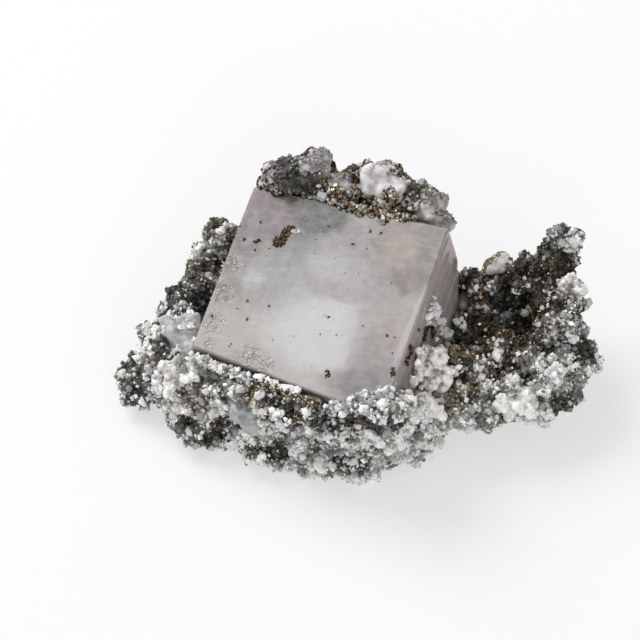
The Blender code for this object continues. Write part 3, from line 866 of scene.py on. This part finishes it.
QUARTZ_PATTERN = (
    np.concatenate([six_around(0.9, 0), six_around(1, 0.9), [[0.08, -0.05, 1.35]]]),
    [(i, (i + 1) % 6, 6 + (i + 1) % 6, 6 + i) for i in range(6)]
    + [(6 + i, 6 + (i + 1) % 6, 12) for i in range(6)] + [(5, 4, 3, 2, 1, 0)],
)
BLOCK_CORNERS = np.array([(x, y, z) for z in (0, 1) for y in (-0.5, 0.5) for x in (-0.5, 0.5)])
BLOCK_FACES = [(0, 2, 3, 1), (4, 5, 7, 6), (0, 1, 5, 4), (2, 6, 7, 3), (0, 4, 6, 2), (1, 3, 7, 5)]
RHOMB_LEAN = np.array([(1, 0.12, 0), (0.2, 1, 0), (0.25, 0.2, 0.8)])
CUBE_PATTERN = (BLOCK_CORNERS, BLOCK_FACES)
RHOMB_PATTERN = (BLOCK_CORNERS @ RHOMB_LEAN, BLOCK_FACES)
ball = bmesh.new()
bmesh.ops.create_icosphere(ball, subdivisions=2, radius=0.5)
BALL_PATTERN = (np.array([vert.co for vert in ball.verts]) + (0, 0, 0.5),
                [tuple(vert.index for vert in face.verts) for face in ball.faces])
ball.free()
print("faces in a quartz point:", len(QUARTZ_PATTERN[1]), "and in a ball:", len(BALL_PATTERN[1]))

# %% [markdown]
# Each grain has its own tint, and the material adds small flaws inside it. Quartz lets some light through,
# pyrite is a metal that has partly rusted to brown, calcite is milky. A kind of grain is a pattern, two
# tints between which each grain draws its own, the slot of the solid model and a finish.

# %% Make the grain finishes and name the kinds
def grain_finish(name, shade, roughness, **values):
    """Tint from the grain, darker or lighter in flaws, with a fine bump."""
    made, tree, shader = material(name, **values)
    coords = millimetres(tree)
    flaws = speckled(tree, coords, 0.4)
    plug(tree, shader, Base_Color=tinted(tree, remap(tree, flaws, 0.3, 0.7, *shade)),
         Roughness=remap(tree, flaws, 0.3, 0.7, *roughness))
    roughen(tree, shader, coords, 0.2, 2.0, 0.3, 0.06)
    return made


quartz = grain_finish("quartz", (0.8, 1.15), (0.1, 0.3), IOR=1.544, Transmission_Weight=0.3)
pyrite = grain_finish("pyrite", (0.6, 1.3), (0.22, 0.5), Metallic=0.85)
druse = grain_finish("dark_druse", (0.6, 1.4), (0.2, 0.5))
milky = grain_finish("white_rhombs", (0.85, 1.1), (0.3, 0.55), Subsurface_Weight=0.15,
                     Subsurface_Radius=(0.0008, 0.0008, 0.0007), Subsurface_Scale=1.0)
BROWN_TINTS = ((0.024, 0.017, 0.011), (0.125, 0.086, 0.051))
WHITE_TINTS = ((0.76, 0.75, 0.73), (0.98, 0.98, 0.96))
KINDS = {
    "druse": (CUBE_PATTERN, ((0.026, 0.025, 0.023), (0.13, 0.122, 0.108)), "rock", druse),
    "grey_druse": (CUBE_PATTERN, ((0.07, 0.069, 0.068), (0.42, 0.41, 0.395)), "rock", druse),
    "pale_druse": (CUBE_PATTERN, ((0.12, 0.115, 0.11), (0.46, 0.44, 0.42)), "rock", druse),
    "speck": (CUBE_PATTERN, BROWN_TINTS, "rock", druse),
    "rust": (CUBE_PATTERN, BROWN_TINTS, "rock", pyrite),
    "pyrite": (CUBE_PATTERN, ((0.12, 0.095, 0.06), (0.60, 0.50, 0.34)), "rock", pyrite),
    "quartz": (QUARTZ_PATTERN, ((0.17, 0.185, 0.180), (0.94, 0.95, 0.92)), "rock", quartz),
    "grey_quartz": (QUARTZ_PATTERN, ((0.28, 0.31, 0.32), (0.90, 0.91, 0.89)), "rock", quartz),
    "pale_quartz": (QUARTZ_PATTERN, ((0.62, 0.64, 0.65), (0.88, 0.88, 0.87)), "rock", quartz),
    "milky_quartz": (QUARTZ_PATTERN, ((0.55, 0.56, 0.56), (0.96, 0.96, 0.95)), "rock", milky),
    "rhomb": (RHOMB_PATTERN, WHITE_TINTS, "calcite", milky),
    "chip": (RHOMB_PATTERN, ((0.42, 0.36, 0.31), (0.80, 0.76, 0.72)), "calcite", milky),
    "ball": (BALL_PATTERN, WHITE_TINTS, "calcite", milky),
}
print("kinds of grain:", ", ".join(KINDS))

# %% [markdown]
# A grain's frame is built from the skin's normal with a little random lean, and its size is drawn between
# two limits, with many small ones and few large ones, as in real druse. Each corner also wobbles a little,
# so no two grains are alike. Balls are shaded smooth, the crystals keep their flat faces.

# %% Grow grains of one kind
FEW_LARGE = 2.2
TINT_SPREAD = (0.88, 1.12)


def grow(name, kind, points, normals, sizes, stretch, lean, rng, sink=0.3, wobble=0.03):
    """Join one grain for each place in a single mesh; sizes are in mm."""
    (body, faces), (first, second), slot, finish = KINDS[kind]
    count = len(points)
    widths = (sizes[0] + (sizes[1] - sizes[0]) * rng.uniform(0, 1, count) ** FEW_LARGE) * MM
    mix = rng.uniform(0, 1, (count, 1))
    colours = (np.array(first) * (1 - mix) + np.array(second) * mix) * rng.uniform(*TINT_SPREAD, (count, 1))
    up = normals + rng.normal(0, lean, (count, 3))
    up /= np.linalg.norm(up, axis=1)[:, None]
    side = np.cross(up, rng.normal(0, 1, (count, 3)))
    side /= np.linalg.norm(side, axis=1)[:, None]
    axes = np.stack([side, np.cross(up, side), up], axis=1)
    scale = widths[:, None] * np.stack([np.ones(count), rng.uniform(0.7, 1.15, count),
                                        rng.uniform(*stretch, count)], axis=1)
    foot = points - up * (scale[:, 2] * sink)[:, None]
    bodies = body[None] + rng.normal(0, wobble, (count, *body.shape))
    places = foot[:, None] + np.einsum("gvk,gkc->gvc", bodies * scale[:, None], axes)
    places[..., 2] = np.maximum(places[..., 2], 0)
    data = bpy.data.meshes.new(name)
    data.from_pydata(places.reshape(-1, 3).tolist(), [],
                     [tuple(i + start for i in face) for start in range(0, count * len(body), len(body))
                      for face in faces])
    made = new_object(name, data)
    paint(made, np.repeat(colours, len(body), axis=0))
    dress(made, slot, finish)
    if kind == "ball":
        data.shade_smooth()


# %% [markdown]
# ## Covering the rock
# A grain must not stand inside the big cube, nor in the narrow gap between crystal and rock, nor below the
# ground. So we test every candidate place against the cube's own axes and against the other crystals.

# %% Choose places for grains
FACE_AXES = np.array(FACE.to_3x3())
FACE_MIDDLE = np.array(FACE.translation)
GAP_WIDTH = 1.2 * MM
GAP_TOP = -3.0 * MM  # from the face down
FACING_CUBE = -0.25
FACING_DOWN = -0.6
UNDERSIDE = 4 * MM
LOWEST_GRAIN = 0.9 * MM
BURIED = 2 * MM
TOUCHING = 0.9 * MM


def skin_samples(obj, count, rng):
    """Random places on a mesh, evenly by area, with their normals and the corners they lie between."""
    data = obj.data
    data.calc_loop_triangles()
    corner_ids = np.empty(len(data.loop_triangles) * 3, np.int32)
    data.loop_triangles.foreach_get("vertices", corner_ids)
    places = corners(obj)[corner_ids].reshape(-1, 3, 3)
    cross = np.cross(places[:, 1] - places[:, 0], places[:, 2] - places[:, 0])
    area = np.linalg.norm(cross, axis=1)
    chosen = rng.choice(len(area), count, p=area / area.sum())
    weights = rng.dirichlet((1, 1, 1), count)
    points = np.einsum("ij,ijk->ik", weights, places[chosen])
    return points, cross[chosen] / area[chosen][:, None], corner_ids.reshape(-1, 3)[chosen]


other_crystals = bmesh.new()
for heap in heaps:
    other_crystals.from_mesh(heap.data)
OTHERS = BVHTree.FromBMesh(other_crystals)
other_crystals.free()


def clear_of_crystals(points, normals):
    """True where a grain may stand."""
    local = (points - FACE_MIDDLE) @ FACE_AXES
    facing = normals @ FACE_AXES
    out = np.abs(local[:, :2]) - HALF_CUBE
    side = out.max(axis=1)
    inside = (side < 0.1 * MM) & (local[:, 2] < 0.1 * MM)
    turned_in = (np.sign(local[:, :2]) * facing[:, :2] < FACING_CUBE) & (out > -0.5 * MM)
    in_gap = (side < GAP_WIDTH) & (local[:, 2] < GAP_TOP) & turned_in.any(axis=1)
    beneath = (normals[:, 2] < FACING_DOWN) & (points[:, 2] < UNDERSIDE)
    good = ~(inside | in_gap | beneath) & (points[:, 2] > LOWEST_GRAIN)
    for index in np.flatnonzero(good):
        near, normal, _, distance = OTHERS.find_nearest(Vector(points[index]))
        towards = near - Vector(points[index])
        buried = towards.dot(normal) > 0 and distance < BURIED
        if buried or (distance < TOUCHING and towards.dot(Vector(normals[index])) > 0.3 * distance):
            good[index] = False
    return good


print("other crystals tested against:", len(heaps))

# %% [markdown]
# The grains of a mineral stand where its share of the mix is high. First comes the dark druse, then pyrite
# and its brown rust, then quartz, and last the white calcite, in the order in which they are thought to
# have grown. Calcite comes as rounded balls among small rhombs, several balls fused in a lump.

# %% Grow the druse, pyrite, quartz and calcite
CANDIDATES = 14  # places tried for each grain
KEENNESS = 1.15


def gathered(points, normals, rng, around, reach):
    """Several places around each place, so that grains fuse into knobby lumps."""
    points, normals = np.repeat(points, around, axis=0), np.repeat(normals, around, axis=0)
    away = rng.normal(0, reach * MM, points.shape)
    return points + away - normals * (away * normals).sum(axis=1)[:, None] * 0.6, normals


def cover(name, kind, mineral, count, seed, sizes, stretch, lean, lumps=None, **how):
    """Grains of one kind on the rock, more where the mineral's share is high."""
    rng = np.random.default_rng(seed)
    points, normals, between = skin_samples(rock, count * CANDIDATES, rng)
    share = mineral_mix(points, SKIN_HEIGHT[between].mean(axis=1))[:, MINERALS.index(mineral)]
    keep = rng.uniform(0, 1, len(points)) < share * KEENNESS
    points, normals = points[keep], normals[keep]
    good = clear_of_crystals(points, normals)
    points, normals = points[good][:count], normals[good][:count]
    if lumps:
        points, normals = gathered(points, normals, rng, *lumps)
    grow(name, kind, points, normals, sizes, stretch, lean, rng, **how)


cover("dark_druse_grains", "druse", "dark", 6800, 21, (0.32, 0.85), (0.8, 1.3), 0.8)
cover("pyrite_grains", "pyrite", "pyrite", 5000, 22, (0.25, 0.7), (0.8, 1.2), 0.8)
cover("brown_crust_grains", "rust", "brown", 6000, 23, (0.24, 0.62), (0.8, 1.2), 0.8)
cover("quartz_points", "quartz", "quartz", 6700, 24, (0.35, 1.05), (0.6, 1.1), 0.5)
cover("large_quartz", "quartz", "quartz", 350, 26, (1.1, 2.4), (0.6, 0.9), 0.5, sink=0.45)
cover("calcite_rhombs", "rhomb", "calcite", 3700, 25, (0.35, 1.1), (0.7, 1.2), 0.6)
cover("pyrite_dust", "pyrite", "quartz", 800, 28, (0.14, 0.36), (0.8, 1.2), 0.8, sink=-0.1)
cover("calcite_balls", "ball", "calcite", 205, 27, (0.7, 2.4), (0.6, 1.0), 0.7, lumps=(5, 0.55), sink=0.4,
      wobble=0.12)

# %% [markdown]
# The small fluorites carry a crust of grey druse on top and on the sides that face away from the big cube.
# Brass pyrite and rust cover their feet, where they meet its far edge. The grey calcite on the left has
# white rhombs in patches. Rows of places can't follow such round shapes, so the direction of each bit of
# skin and its height above the face decide where grains stand.

# %% Crust the small fluorites
def crust(name, kind, crystals, count, seed, bare, sizes, backs=0.8, tops=0.0, feet=0.0):
    """Grains where noise, the side facing away from the cube and the foot add up to more than `bare`."""
    rng = np.random.default_rng(seed)
    places, ups = [], []
    for crystal in crystals:
        points, normals, _ = skin_samples(crystal, count, rng)
        above_face = (points - FACE_MIDDLE) @ FACE_AXES[:, 2] / MM
        thick = np.array([noise.noise(Vector(point) / (2.4 * MM)) for point in points])
        thick += backs * normals[:, 1] + tops * normals[:, 2] + feet * np.clip(2.0 - above_face / 2, -2, 2)
        keep = (thick > bare) & (points[:, 2] > 1.5 * MM)
        places.append(points[keep])
        ups.append(normals[keep])
    grow(name, kind, np.concatenate(places), np.concatenate(ups), sizes, (0.7, 1.1), 0.7, rng)


BY_NAME = {heap.name: heap for heap in heaps}
LEFT, MIDDLE, RIGHT = (BY_NAME[f"rear_fluorite_{place}_crystals"] for place in ("left", "middle", "right"))
CORNER, ARM = (BY_NAME[f"{place}_fluorite_crystals"] for place in ("corner", "arm"))
crust("rear_druse_grains", "grey_druse", (LEFT, MIDDLE, CORNER), 2100, 31, 0.36, (0.25, 0.6), 0.9, 0.75)
crust("knob_druse_grains", "pale_druse", (RIGHT,), 1500, 32, 0.60, (0.25, 0.55), tops=0.35)
crust("foot_pyrite", "pyrite", (RIGHT, MIDDLE), 1600, 34, 0.70, (0.3, 0.75), backs=0, feet=0.55)
crust("foot_rust", "rust", (RIGHT, LEFT, MIDDLE), 1300, 35, 0.74, (0.3, 0.75), backs=0, feet=0.55)
crust("foot_quartz", "quartz", (RIGHT, MIDDLE), 260, 36, 0.60, (0.4, 1.2), backs=0, feet=0.55)
crust("corner_glints", "pyrite", (CORNER, ARM), 1100, 33, 0.15, (0.25, 0.6))
crust("white_rim", "rhomb", (BY_NAME["left_calcite_heap"],), 420, 37, 0.28, (0.4, 1.3), backs=0.3)

# %% [markdown]
# ## What grew on the cube's face
# The face carries guests of its own: a crust of pyrite that creeps over its far edge, a brown patch of the
# same near the far left, quartz over the near right corner, a pale tuft on the right side, and some loose
# dark specks. Their places are given in millimetres on the face, so they stay on the crystal wherever one
# looks from.

# %% Strew crystals on the face
def from_cube(x, y, z):
    """A direction along the cube's own axes."""
    return np.array(FACE.to_3x3() @ Vector((x, y, z)).normalized())


UP_FROM_FACE = from_cube(0, 0, 1)


def strew(name, kind, spots, seed, sizes, stretch, lean, up=UP_FROM_FACE, **how):
    """Grains at given places, in mm on the face."""
    points = (np.asarray(spots) * MM) @ FACE_AXES.T + FACE_MIDDLE
    ups = np.tile(up, (len(points), 1))
    grow(name, kind, points, ups, sizes, stretch, lean, np.random.default_rng(seed), **how)


def flat_noise(xs, ys, scale, seed):
    return np.array([noise.noise(Vector((x, y, seed))) for x, y in zip(xs * scale, ys * scale)])


def spots_in_patch(seed, count, middle, half_sizes, turn=0, ragged=0.5):
    """Places in a turned oval with a ragged border."""
    rng = np.random.default_rng(seed)
    flat = rng.uniform(-1, 1, (count * 3, 2))
    edge = 1 + ragged * flat_noise(*flat.T, 2.3, seed)
    flat = flat[np.linalg.norm(flat, axis=1) < edge][:count]
    angle = math.radians(turn)
    spin = np.array([(math.cos(angle), math.sin(angle)), (-math.sin(angle), math.cos(angle))])
    placed = (flat * half_sizes) @ spin + middle
    return np.column_stack([placed, np.zeros(len(placed))])


brown_patch = np.concatenate([spots_in_patch(41, 190, (-11.3, 12.4), (1.0, 2.4), -14, 0.9),
                              spots_in_patch(42, 110, (-12.1, 10.4), (1.3, 1.2), 0, 0.9)])
beside_patch = np.concatenate([spots_in_patch(45, 9, (-9.9, 13.3), (0.5, 0.8)),
                               spots_in_patch(46, 6, (-8.8, 13.6), (0.4, 0.4))])
strew("brown_patch", "rust", brown_patch, 43, (0.22, 0.5), (0.6, 1.0), 0.6)
strew("brown_patch_glints", "pyrite", brown_patch[::9], 44, (0.22, 0.4), (0.9, 1.6), 0.6)
strew("patch_quartz", "pale_quartz", beside_patch, 47, (0.35, 0.8), (0.5, 0.9), 0.5)

# %% [markdown]
# The crust on the far edge is thickest on the edge itself and thins out in tongues. Colour alone would
# leave the crystal's outline a ruled line there, so we strew real grains: many places behind the edge and
# in front of it, their number falling with the distance.

# %% Crust the far edge
FAR_EDGE = HALF_CUBE / MM
CRUST_START, CRUST_END = -5.0, 14.5  # mm along the edge
CRUST_PLACES = 2600

rng = np.random.default_rng(51)
along = rng.uniform(CRUST_START, CRUST_END, CRUST_PLACES)
level = np.zeros(CRUST_PLACES)
tongue = 0.9 + 1.6 * flat_noise(along, level, 0.55, 4) + 0.9 * flat_noise(along, level, 1.9, 9)
tongue *= np.clip((along - CRUST_START) / 4, 0, 1) * np.clip((CRUST_END - along) / 6, 0, 1) + 0.2
inwards = rng.exponential(0.8, CRUST_PLACES)
kept = inwards < tongue * 1.5
edge_spots = np.column_stack([along, FAR_EDGE + 0.9 - inwards - 0.4, level])[kept]
edge_spots[:, 2] = np.clip(0.9 - inwards[kept], -0.2, 0.7) * rng.uniform(0, 1, kept.sum())
strew("far_edge_pyrite", "pyrite", edge_spots[::2], 52, (0.3, 0.8), (0.7, 1.2), 0.9)
strew("far_edge_rust", "rust", edge_spots[1::2], 53, (0.25, 0.7), (0.7, 1.2), 0.9)
strew("far_edge_quartz", "quartz", edge_spots[::9], 54, (0.4, 1.1), (0.6, 1.0), 0.6)

# %% [markdown]
# Over the near right corner the quartz and calcite of the rock have climbed onto the face, past a slanting
# line. Random places past that line, piled higher towards the corner, make the heap. The crystals wrap the
# cube's upright edge below that corner too, so the cube seems to rise out of the rock.

# %% Cover the near corner
CORNER_PLACES = 2400
LINE_START, LINE_SLOPE = (12.0, -20.6), 0.62  # the slanting line, in mm on the face
WRAP_PLACES = 420
OUT_OF_CORNER = from_cube(0.5, -0.85, 0.2)

rng = np.random.default_rng(55)
corner = np.column_stack([rng.uniform(9, 22.6, CORNER_PLACES), rng.uniform(-22.6, -10, CORNER_PLACES),
                          np.zeros(CORNER_PLACES)])
line = LINE_START[1] + (corner[:, 0] - LINE_START[0]) * LINE_SLOPE
below = line - corner[:, 1] + 1.1 * flat_noise(corner[:, 0], corner[:, 1], 0.8, 7)
corner, below = corner[below > 0], below[below > 0]
corner[:, 2] = np.clip(below * 0.35, 0, 1.3) * rng.uniform(0.3, 1, len(corner))
strew("corner_quartz", "grey_quartz", corner[::3], 56, (0.35, 1.5), (0.5, 0.9), 0.8)
strew("corner_calcite", "ball", corner[1::22], 57, (0.7, 2.2), (0.5, 0.9), 0.6, wobble=0.10)

rng = np.random.default_rng(68)
wrap = np.column_stack([rng.normal(21.6, 1.2, WRAP_PLACES), rng.normal(-22.0, 0.6, WRAP_PLACES),
                        rng.uniform(-19, -7, WRAP_PLACES)])
strew("corner_wrap_quartz", "quartz", wrap[::2], 69, (0.6, 1.8), (0.6, 1.0), 0.6, OUT_OF_CORNER)
strew("corner_wrap_calcite", "ball", wrap[1::4], 70, (1.0, 2.6), (0.6, 1.0), 0.6, OUT_OF_CORNER, wobble=0.1)

# %% [markdown]
# Along the near edge a thin white plate of calcite leans on the crystal, and white, brassy, brown and clear
# grains fill the joint between crystal and rock. Each mineral is a loose row that follows the edge.

# %% Fill the near edge
NEAR_EDGE_SLOPE = -math.tan(math.radians(7))  # the edge runs a little askew
NEAR_EDGE_ROWS = (
    # piece, kind, seed, start and end in mm, number, how far out and down, spread, then what strew takes
    ("near_edge_plate", "rhomb", 58, -6.5, 3.0, 90, 1.15, 0.5, 0.3, 59, (0.5, 1.3), (0.3, 0.5), 0.25),
    ("near_edge_whites", "rhomb", 60, -22.0, -8.0, 150, 2.0, 1.4, 1.0, 61, (0.35, 1.0), (0.4, 0.9), 0.5),
    ("near_edge_pyrite", "pyrite", 62, -6.0, 9.0, 180, 2.2, 1.0, 1.0, 63, (0.3, 0.7), (0.7, 1.2), 0.7),
    ("near_edge_rust", "rust", 66, -6.0, 9.0, 160, 2.2, 1.2, 1.0, 67, (0.3, 0.7), (0.7, 1.2), 0.7),
    ("near_edge_quartz", "quartz", 64, -22.0, 13.0, 260, 2.2, 1.2, 1.3, 65, (0.35, 1.1), (0.5, 0.9), 0.6),
)

for name, kind, seed, start, end, count, out, deep, spread, *grains in NEAR_EDGE_ROWS:
    rng = np.random.default_rng(seed)
    x = rng.uniform(start, end, count)
    near_edge = -HALF_CUBE / MM + (x - HALF_CUBE / MM) * NEAR_EDGE_SLOPE
    row = np.column_stack([x, near_edge - out + rng.uniform(-spread, spread, count),
                           -deep + rng.uniform(-spread, spread, count)])
    strew(name, kind, row, *grains)

# %% [markdown]
# Dark specks sit on the face or just in it, mostly pyrite dust of a quarter millimetre. The larger ones
# have places of their own, the others fall at random. Pale specks gather where the face is etched.

# %% Scatter the specks
LARGE_SPECKS = (  # mm on the face
    (-17.5, 14.0), (-21.5, 12.0), (-16.5, 7.5), (-19.5, 9.5), (-14.0, -4.0), (-12.5, -8.0), (-20.0, -9.0),
    (-9.0, -4.0), (-3.0, 16.5), (6.0, 17.5), (8.5, 17.5), (4.0, -3.5), (17.0, -4.5), (3.5, 13.5),
)
DUST_SPECKS = 60
MARKS = (  # piece, seed, middle and half sizes in mm, number
    ("brown_spot", 74, (8.0, -15.7), (0.55, 1.0), 26),
    ("corner_spot", 75, (20.8, -11.8), (0.5, 1.1), 24),
    ("curved_mark", 76, (-16.7, 9.6), (0.9, 0.35), 16),
)

rng = np.random.default_rng(71)
specks = [(x, y, 0) for x, y in LARGE_SPECKS for _ in range(3)]
specks = np.array(specks) + rng.normal(0, 0.13, (len(specks), 3)) * (1, 1, 0)
strew("large_specks", "speck", specks, 72, (0.25, 0.5), (0.5, 0.9), 0.5)
dust = np.column_stack([rng.uniform(-20, 20, DUST_SPECKS), rng.uniform(-16, 20, DUST_SPECKS),
                        np.zeros(DUST_SPECKS)])
strew("speck_dust", "speck", dust, 73, (0.12, 0.30), (0.5, 0.9), 0.5)
for name, seed, middle, half_sizes, count in MARKS:
    mark = spots_in_patch(seed, count, middle, half_sizes, 20)
    strew(name, "rust", mark, seed + 10, (0.2, 0.5), (0.5, 0.9), 0.6)
pale = [spots_in_patch(80 + i, round(52 * radius), (x, y), (radius * 0.8, radius), 0, 1.8)
        for i, (x, y, radius) in enumerate(ETCHED_PATCHES)]
pale.append(spots_in_patch(88, 14, (3.1, -3.3), (1.0, 0.3)))
strew("pale_specks", "chip", np.concatenate(pale), 89, (0.10, 0.30), (0.15, 0.4), 0.3)

# %% [markdown]
# On the right side a tuft of small pale quartz stands out from the fluorite and trails down to the rock.
# White calcite lumps and brown crumbs have settled beside it. All grow in loose knots at different heights.

# %% Plant the tuft and its neighbours
UP_FROM_SIDE = from_cube(1, 0, 0.35)
# in each knot: how many, the middle in mm on the cube's own axes, the spread along the side and down
TUFT_KNOTS = ((60, 22.6, 5.6, -7.6, 1.2, 2.4), (14, 22.4, 3.0, -5.4, 0.5, 0.5),
              (34, 23.6, 5.2, -14.0, 0.6, 2.4), (40, 24.6, 4.4, -19.0, 0.9, 2.6))
LUMP_KNOTS = ((12, 23.4, -3.6, -6.0, 1.3, 1.3), (14, 24.0, -8.0, -6.5, 2.2, 1.4),
              (16, 24.6, -4.5, -10.0, 2.4, 1.4))
RUST_KNOTS = ((34, 22.5, 0.2, -6.5, 0.9, 1.0), (44, 22.9, 2.2, -12.0, 0.6, 2.0),
              (44, 23.5, 3.4, -18.5, 0.6, 2.4), (14, 22.3, -6.0, -1.8, 2.4, 0.6))


def knotted(knots, rng):
    return np.concatenate([np.column_stack([np.full(n, x), y + rng.normal(0, spread, n),
                                            z + rng.normal(0, drop, n)])
                           for n, x, y, z, spread, drop in knots])


rng = np.random.default_rng(91)
for name, kind, knots, seed, sizes, stretch, lean, wobble in (
        ("side_tuft", "milky_quartz", TUFT_KNOTS, 92, (0.5, 1.5), (0.7, 1.1), 0.5, 0.05),
        ("side_lumps", "ball", LUMP_KNOTS, 93, (0.8, 2.0), (0.6, 1.0), 0.6, 0.13),
        ("side_rust", "rust", RUST_KNOTS, 94, (0.35, 1.0), (0.7, 1.2), 0.6, 0.03)):
    strew(name, kind, knotted(knots, rng), seed, sizes, stretch, lean, UP_FROM_SIDE, wobble=wobble)
